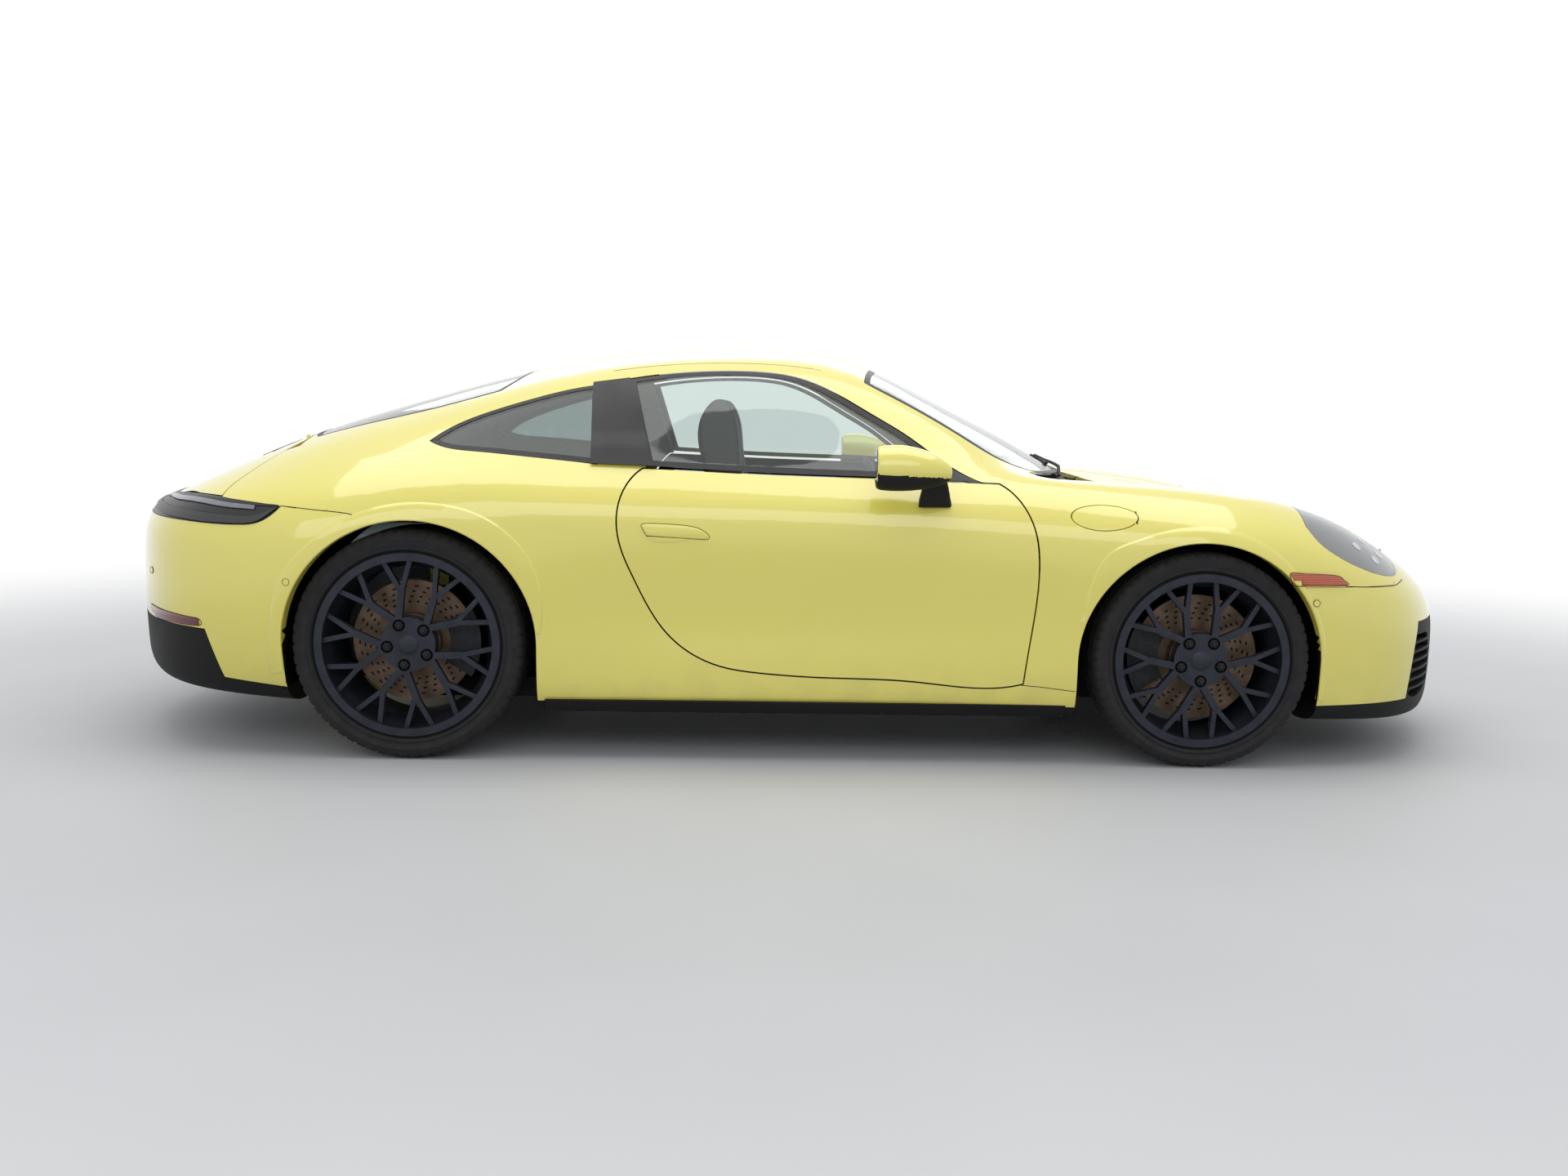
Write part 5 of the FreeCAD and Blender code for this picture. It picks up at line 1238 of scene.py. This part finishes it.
def plump(node, name, voxel, lines, finish="cover"):
    """Turns a node's hard seat block into a rounded, sewn one."""
    piece = loose_copy(node, name)
    modify(piece, "REMESH", mode="VOXEL", voxel_size=voxel, use_smooth_shade=True)
    modify(piece, "SMOOTH", factor=0.6, iterations=10)
    mesh = bmesh.new()
    mesh.from_mesh(piece.data)
    mesh.normal_update()
    low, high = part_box(node)
    moved = []
    for vertex in mesh.verts:
        out = vertex.normal.copy()
        share = (vertex.co.y - low[1]) / (high[1] - low[1])
        crown = 0.004
        for line in lines:
            crown -= 0.007 * math.exp(-(((share - line) * (high[1] - low[1])) / 0.007) ** 2)
        middle = min(abs(share - line) for line in lines) > 0.02 and lines[0] < share < lines[-1]
        if middle:
            across = vertex.co.x + vertex.co.z
            crown -= 0.003 * math.exp(-((((across / 0.06) % 1) - 0.5) * 0.06 / 0.006) ** 2)
        moved.append((vertex, out * crown))
    for vertex, shift in moved:
        vertex.co += shift
    mesh.to_mesh(piece.data)
    mesh.free()
    settle(piece, name, finish, "body", 180.0)
    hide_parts(node)
    return piece


class COUPE_OT_seats(Operator):
    """Pad the seats, with sewn channels and rounded bolsters"""
    bl_idname = "coupe.seats"
    bl_label = "Seats"

    def execute(self, context):
        for side in sides:
            plump("seat_" + side, "padded_seat_" + side, 0.011, (0.24, 0.76))
        plump("rear_seats", "padded_rear_seats", 0.012, (0.12, 0.38, 0.62, 0.88))
        return {"FINISHED"}


def stage_floor():
    deselect()
    bpy.ops.mesh.primitive_plane_add(size=120.0, location=(0, 0, 0))
    floor = bpy.context.object
    floor.name = "floor"
    f = Finish("floor")
    place = f.place()
    mark = f.noise(place, 1.2, 4.0)
    across, along = f.axis(place, "X"), f.axis(place, "Y")
    away = ((across * across + along * along) ** 0.5).fade(2.6, 6.5)
    ground = f.shader(
        Base_Color=f.mix(mark, tint(192, 193, 195), tint(202, 203, 205)), Roughness=0.55,
        Normal=f.bump(mark, 0.02, 0.01))
    bright = f.node("ShaderNodeEmission", {}, {"Color": (1, 1, 1, 1), "Strength": 1.0})
    straight = f.node("ShaderNodeLightPath", {}, {}, "Is Camera Ray")
    glossy = f.node("ShaderNodeLightPath", {}, {}, "Is Glossy Ray")
    seen = away * (straight + glossy).clipped()
    floor.data.materials.append(f.output(f.node("ShaderNodeMixShader", {}, {0: seen, 1: ground, 2: bright})))


def stage_sky(strength):
    world = bpy.data.worlds.new("studio")
    bpy.context.scene.world = world
    world.use_nodes = True
    tree = world.node_tree
    tree.nodes.clear()
    light, clean = tree.nodes.new("ShaderNodeBackground"), tree.nodes.new("ShaderNodeBackground")
    light.inputs["Color"].default_value = (0.93, 0.96, 1.0, 1)
    light.inputs["Strength"].default_value = strength
    clean.inputs["Color"].default_value = (1, 1, 1, 1)
    clean.inputs["Strength"].default_value = 1.0
    path, mix = tree.nodes.new("ShaderNodeLightPath"), tree.nodes.new("ShaderNodeMixShader")
    seen = path.outputs["Is Camera Ray"]
    for ray in ("Is Glossy Ray", "Is Transmission Ray"):
        either = tree.nodes.new("ShaderNodeMath")
        either.operation = "MAXIMUM"
        tree.links.new(seen, either.inputs[0])
        tree.links.new(path.outputs[ray], either.inputs[1])
        seen = either.outputs[0]
    tree.links.new(seen, mix.inputs[0])
    tree.links.new(light.outputs[0], mix.inputs[1])
    tree.links.new(clean.outputs[0], mix.inputs[2])
    end = tree.nodes.new("ShaderNodeOutputWorld")
    tree.links.new(mix.outputs[0], end.inputs["Surface"])


def stage_camera():
    yaw, pitch, roll = 0.0202, -0.1182, 0.0159
    ahead = Vector((math.sin(yaw) * math.cos(pitch), math.cos(yaw) * math.cos(pitch), math.sin(pitch)))
    right = Vector((math.cos(yaw), -math.sin(yaw), 0))
    up = right.cross(ahead)
    turned_right = math.cos(roll) * right + math.sin(roll) * up
    turned_up = math.cos(roll) * up - math.sin(roll) * right
    bpy.ops.object.camera_add()
    camera = bpy.context.object
    camera.name = "camera"
    axes = Matrix((turned_right, turned_up, -ahead)).transposed()
    camera.matrix_world = Matrix.Translation((-0.1585, -5.5293, 1.1002)) @ axes.to_4x4()
    camera.data.lens = 36.0 * 1872.3 / 1920
    camera.data.sensor_width = 36.0
    bpy.context.scene.camera = camera


class COUPE_OT_stage(Operator):
    """Set the pale floor, the soft studio light and the camera"""
    bl_idname = "coupe.stage"
    bl_label = "Stage"

    def execute(self, context):
        studio = context.scene.coupe_studio
        stage_floor()
        stage_sky(studio.sky)
        for name, place, turn, size, watts in (
            ("lamp_over", (0.0, -0.6, 5.2), (0, 0, 0), (7.0, 4.0), studio.over),
            ("lamp_near", (-0.6, -6.5, 3.6), (math.radians(62), 0, 0), (8.0, 2.4), studio.near),
            ("lamp_far", (0.5, 6.0, 3.8), (math.radians(-60), 0, 0), (8.0, 2.4), studio.far),
        ):
            bpy.ops.object.light_add(type="AREA", location=place, rotation=turn)
            lamp = bpy.context.object
            lamp.name = name
            lamp.data.shape = "RECTANGLE"
            lamp.data.size, lamp.data.size_y = size
            lamp.data.energy = watts
        stage_camera()
        context.scene.view_settings.view_transform = "Standard"
        return {"FINISHED"}


steps = (
    COUPE_OT_finishes, COUPE_OT_tyres, COUPE_OT_rims, COUPE_OT_hubs, COUPE_OT_flares, COUPE_OT_linings, COUPE_OT_seams,
    COUPE_OT_windows, COUPE_OT_handles, COUPE_OT_markers, COUPE_OT_tail_lamp, COUPE_OT_headlamps,
    COUPE_OT_mirrors, COUPE_OT_wipers, COUPE_OT_grille, COUPE_OT_sills, COUPE_OT_cabin, COUPE_OT_seats,
    COUPE_OT_stage,
)


class COUPE_PT_panel(Panel):
    """Sizes and colours of the coupe, and a button for each group of its pieces"""
    bl_idname = "COUPE_PT_panel"
    bl_label = "Coupe car"
    bl_space_type = "VIEW_3D"
    bl_region_type = "UI"
    bl_category = "Coupe"

    def draw(self, context):
        layout = self.layout
        for group in (context.scene.coupe_colours, context.scene.coupe_sizes, context.scene.coupe_studio):
            box = layout.box()
            for name in group.__annotations__:
                box.prop(group, name)
        for step in steps:
            layout.operator(step.bl_idname)


groups = {"coupe_colours": CoupeColours, "coupe_sizes": CoupeSizes, "coupe_studio": CoupeStudio}


def register():
    for item in (*groups.values(), *steps, COUPE_PT_panel):
        bpy.utils.register_class(item)
    for name, group in groups.items():
        setattr(bpy.types.Scene, name, PointerProperty(type=group))


def unregister():
    for name in groups:
        delattr(bpy.types.Scene, name)
    for item in reversed((*groups.values(), *steps, COUPE_PT_panel)):
        bpy.utils.unregister_class(item)


def main():
    register()
    for step in steps:
        family, name = step.bl_idname.split(".")
        getattr(getattr(bpy.ops, family), name)()


if __name__ == "__main__":
    main()
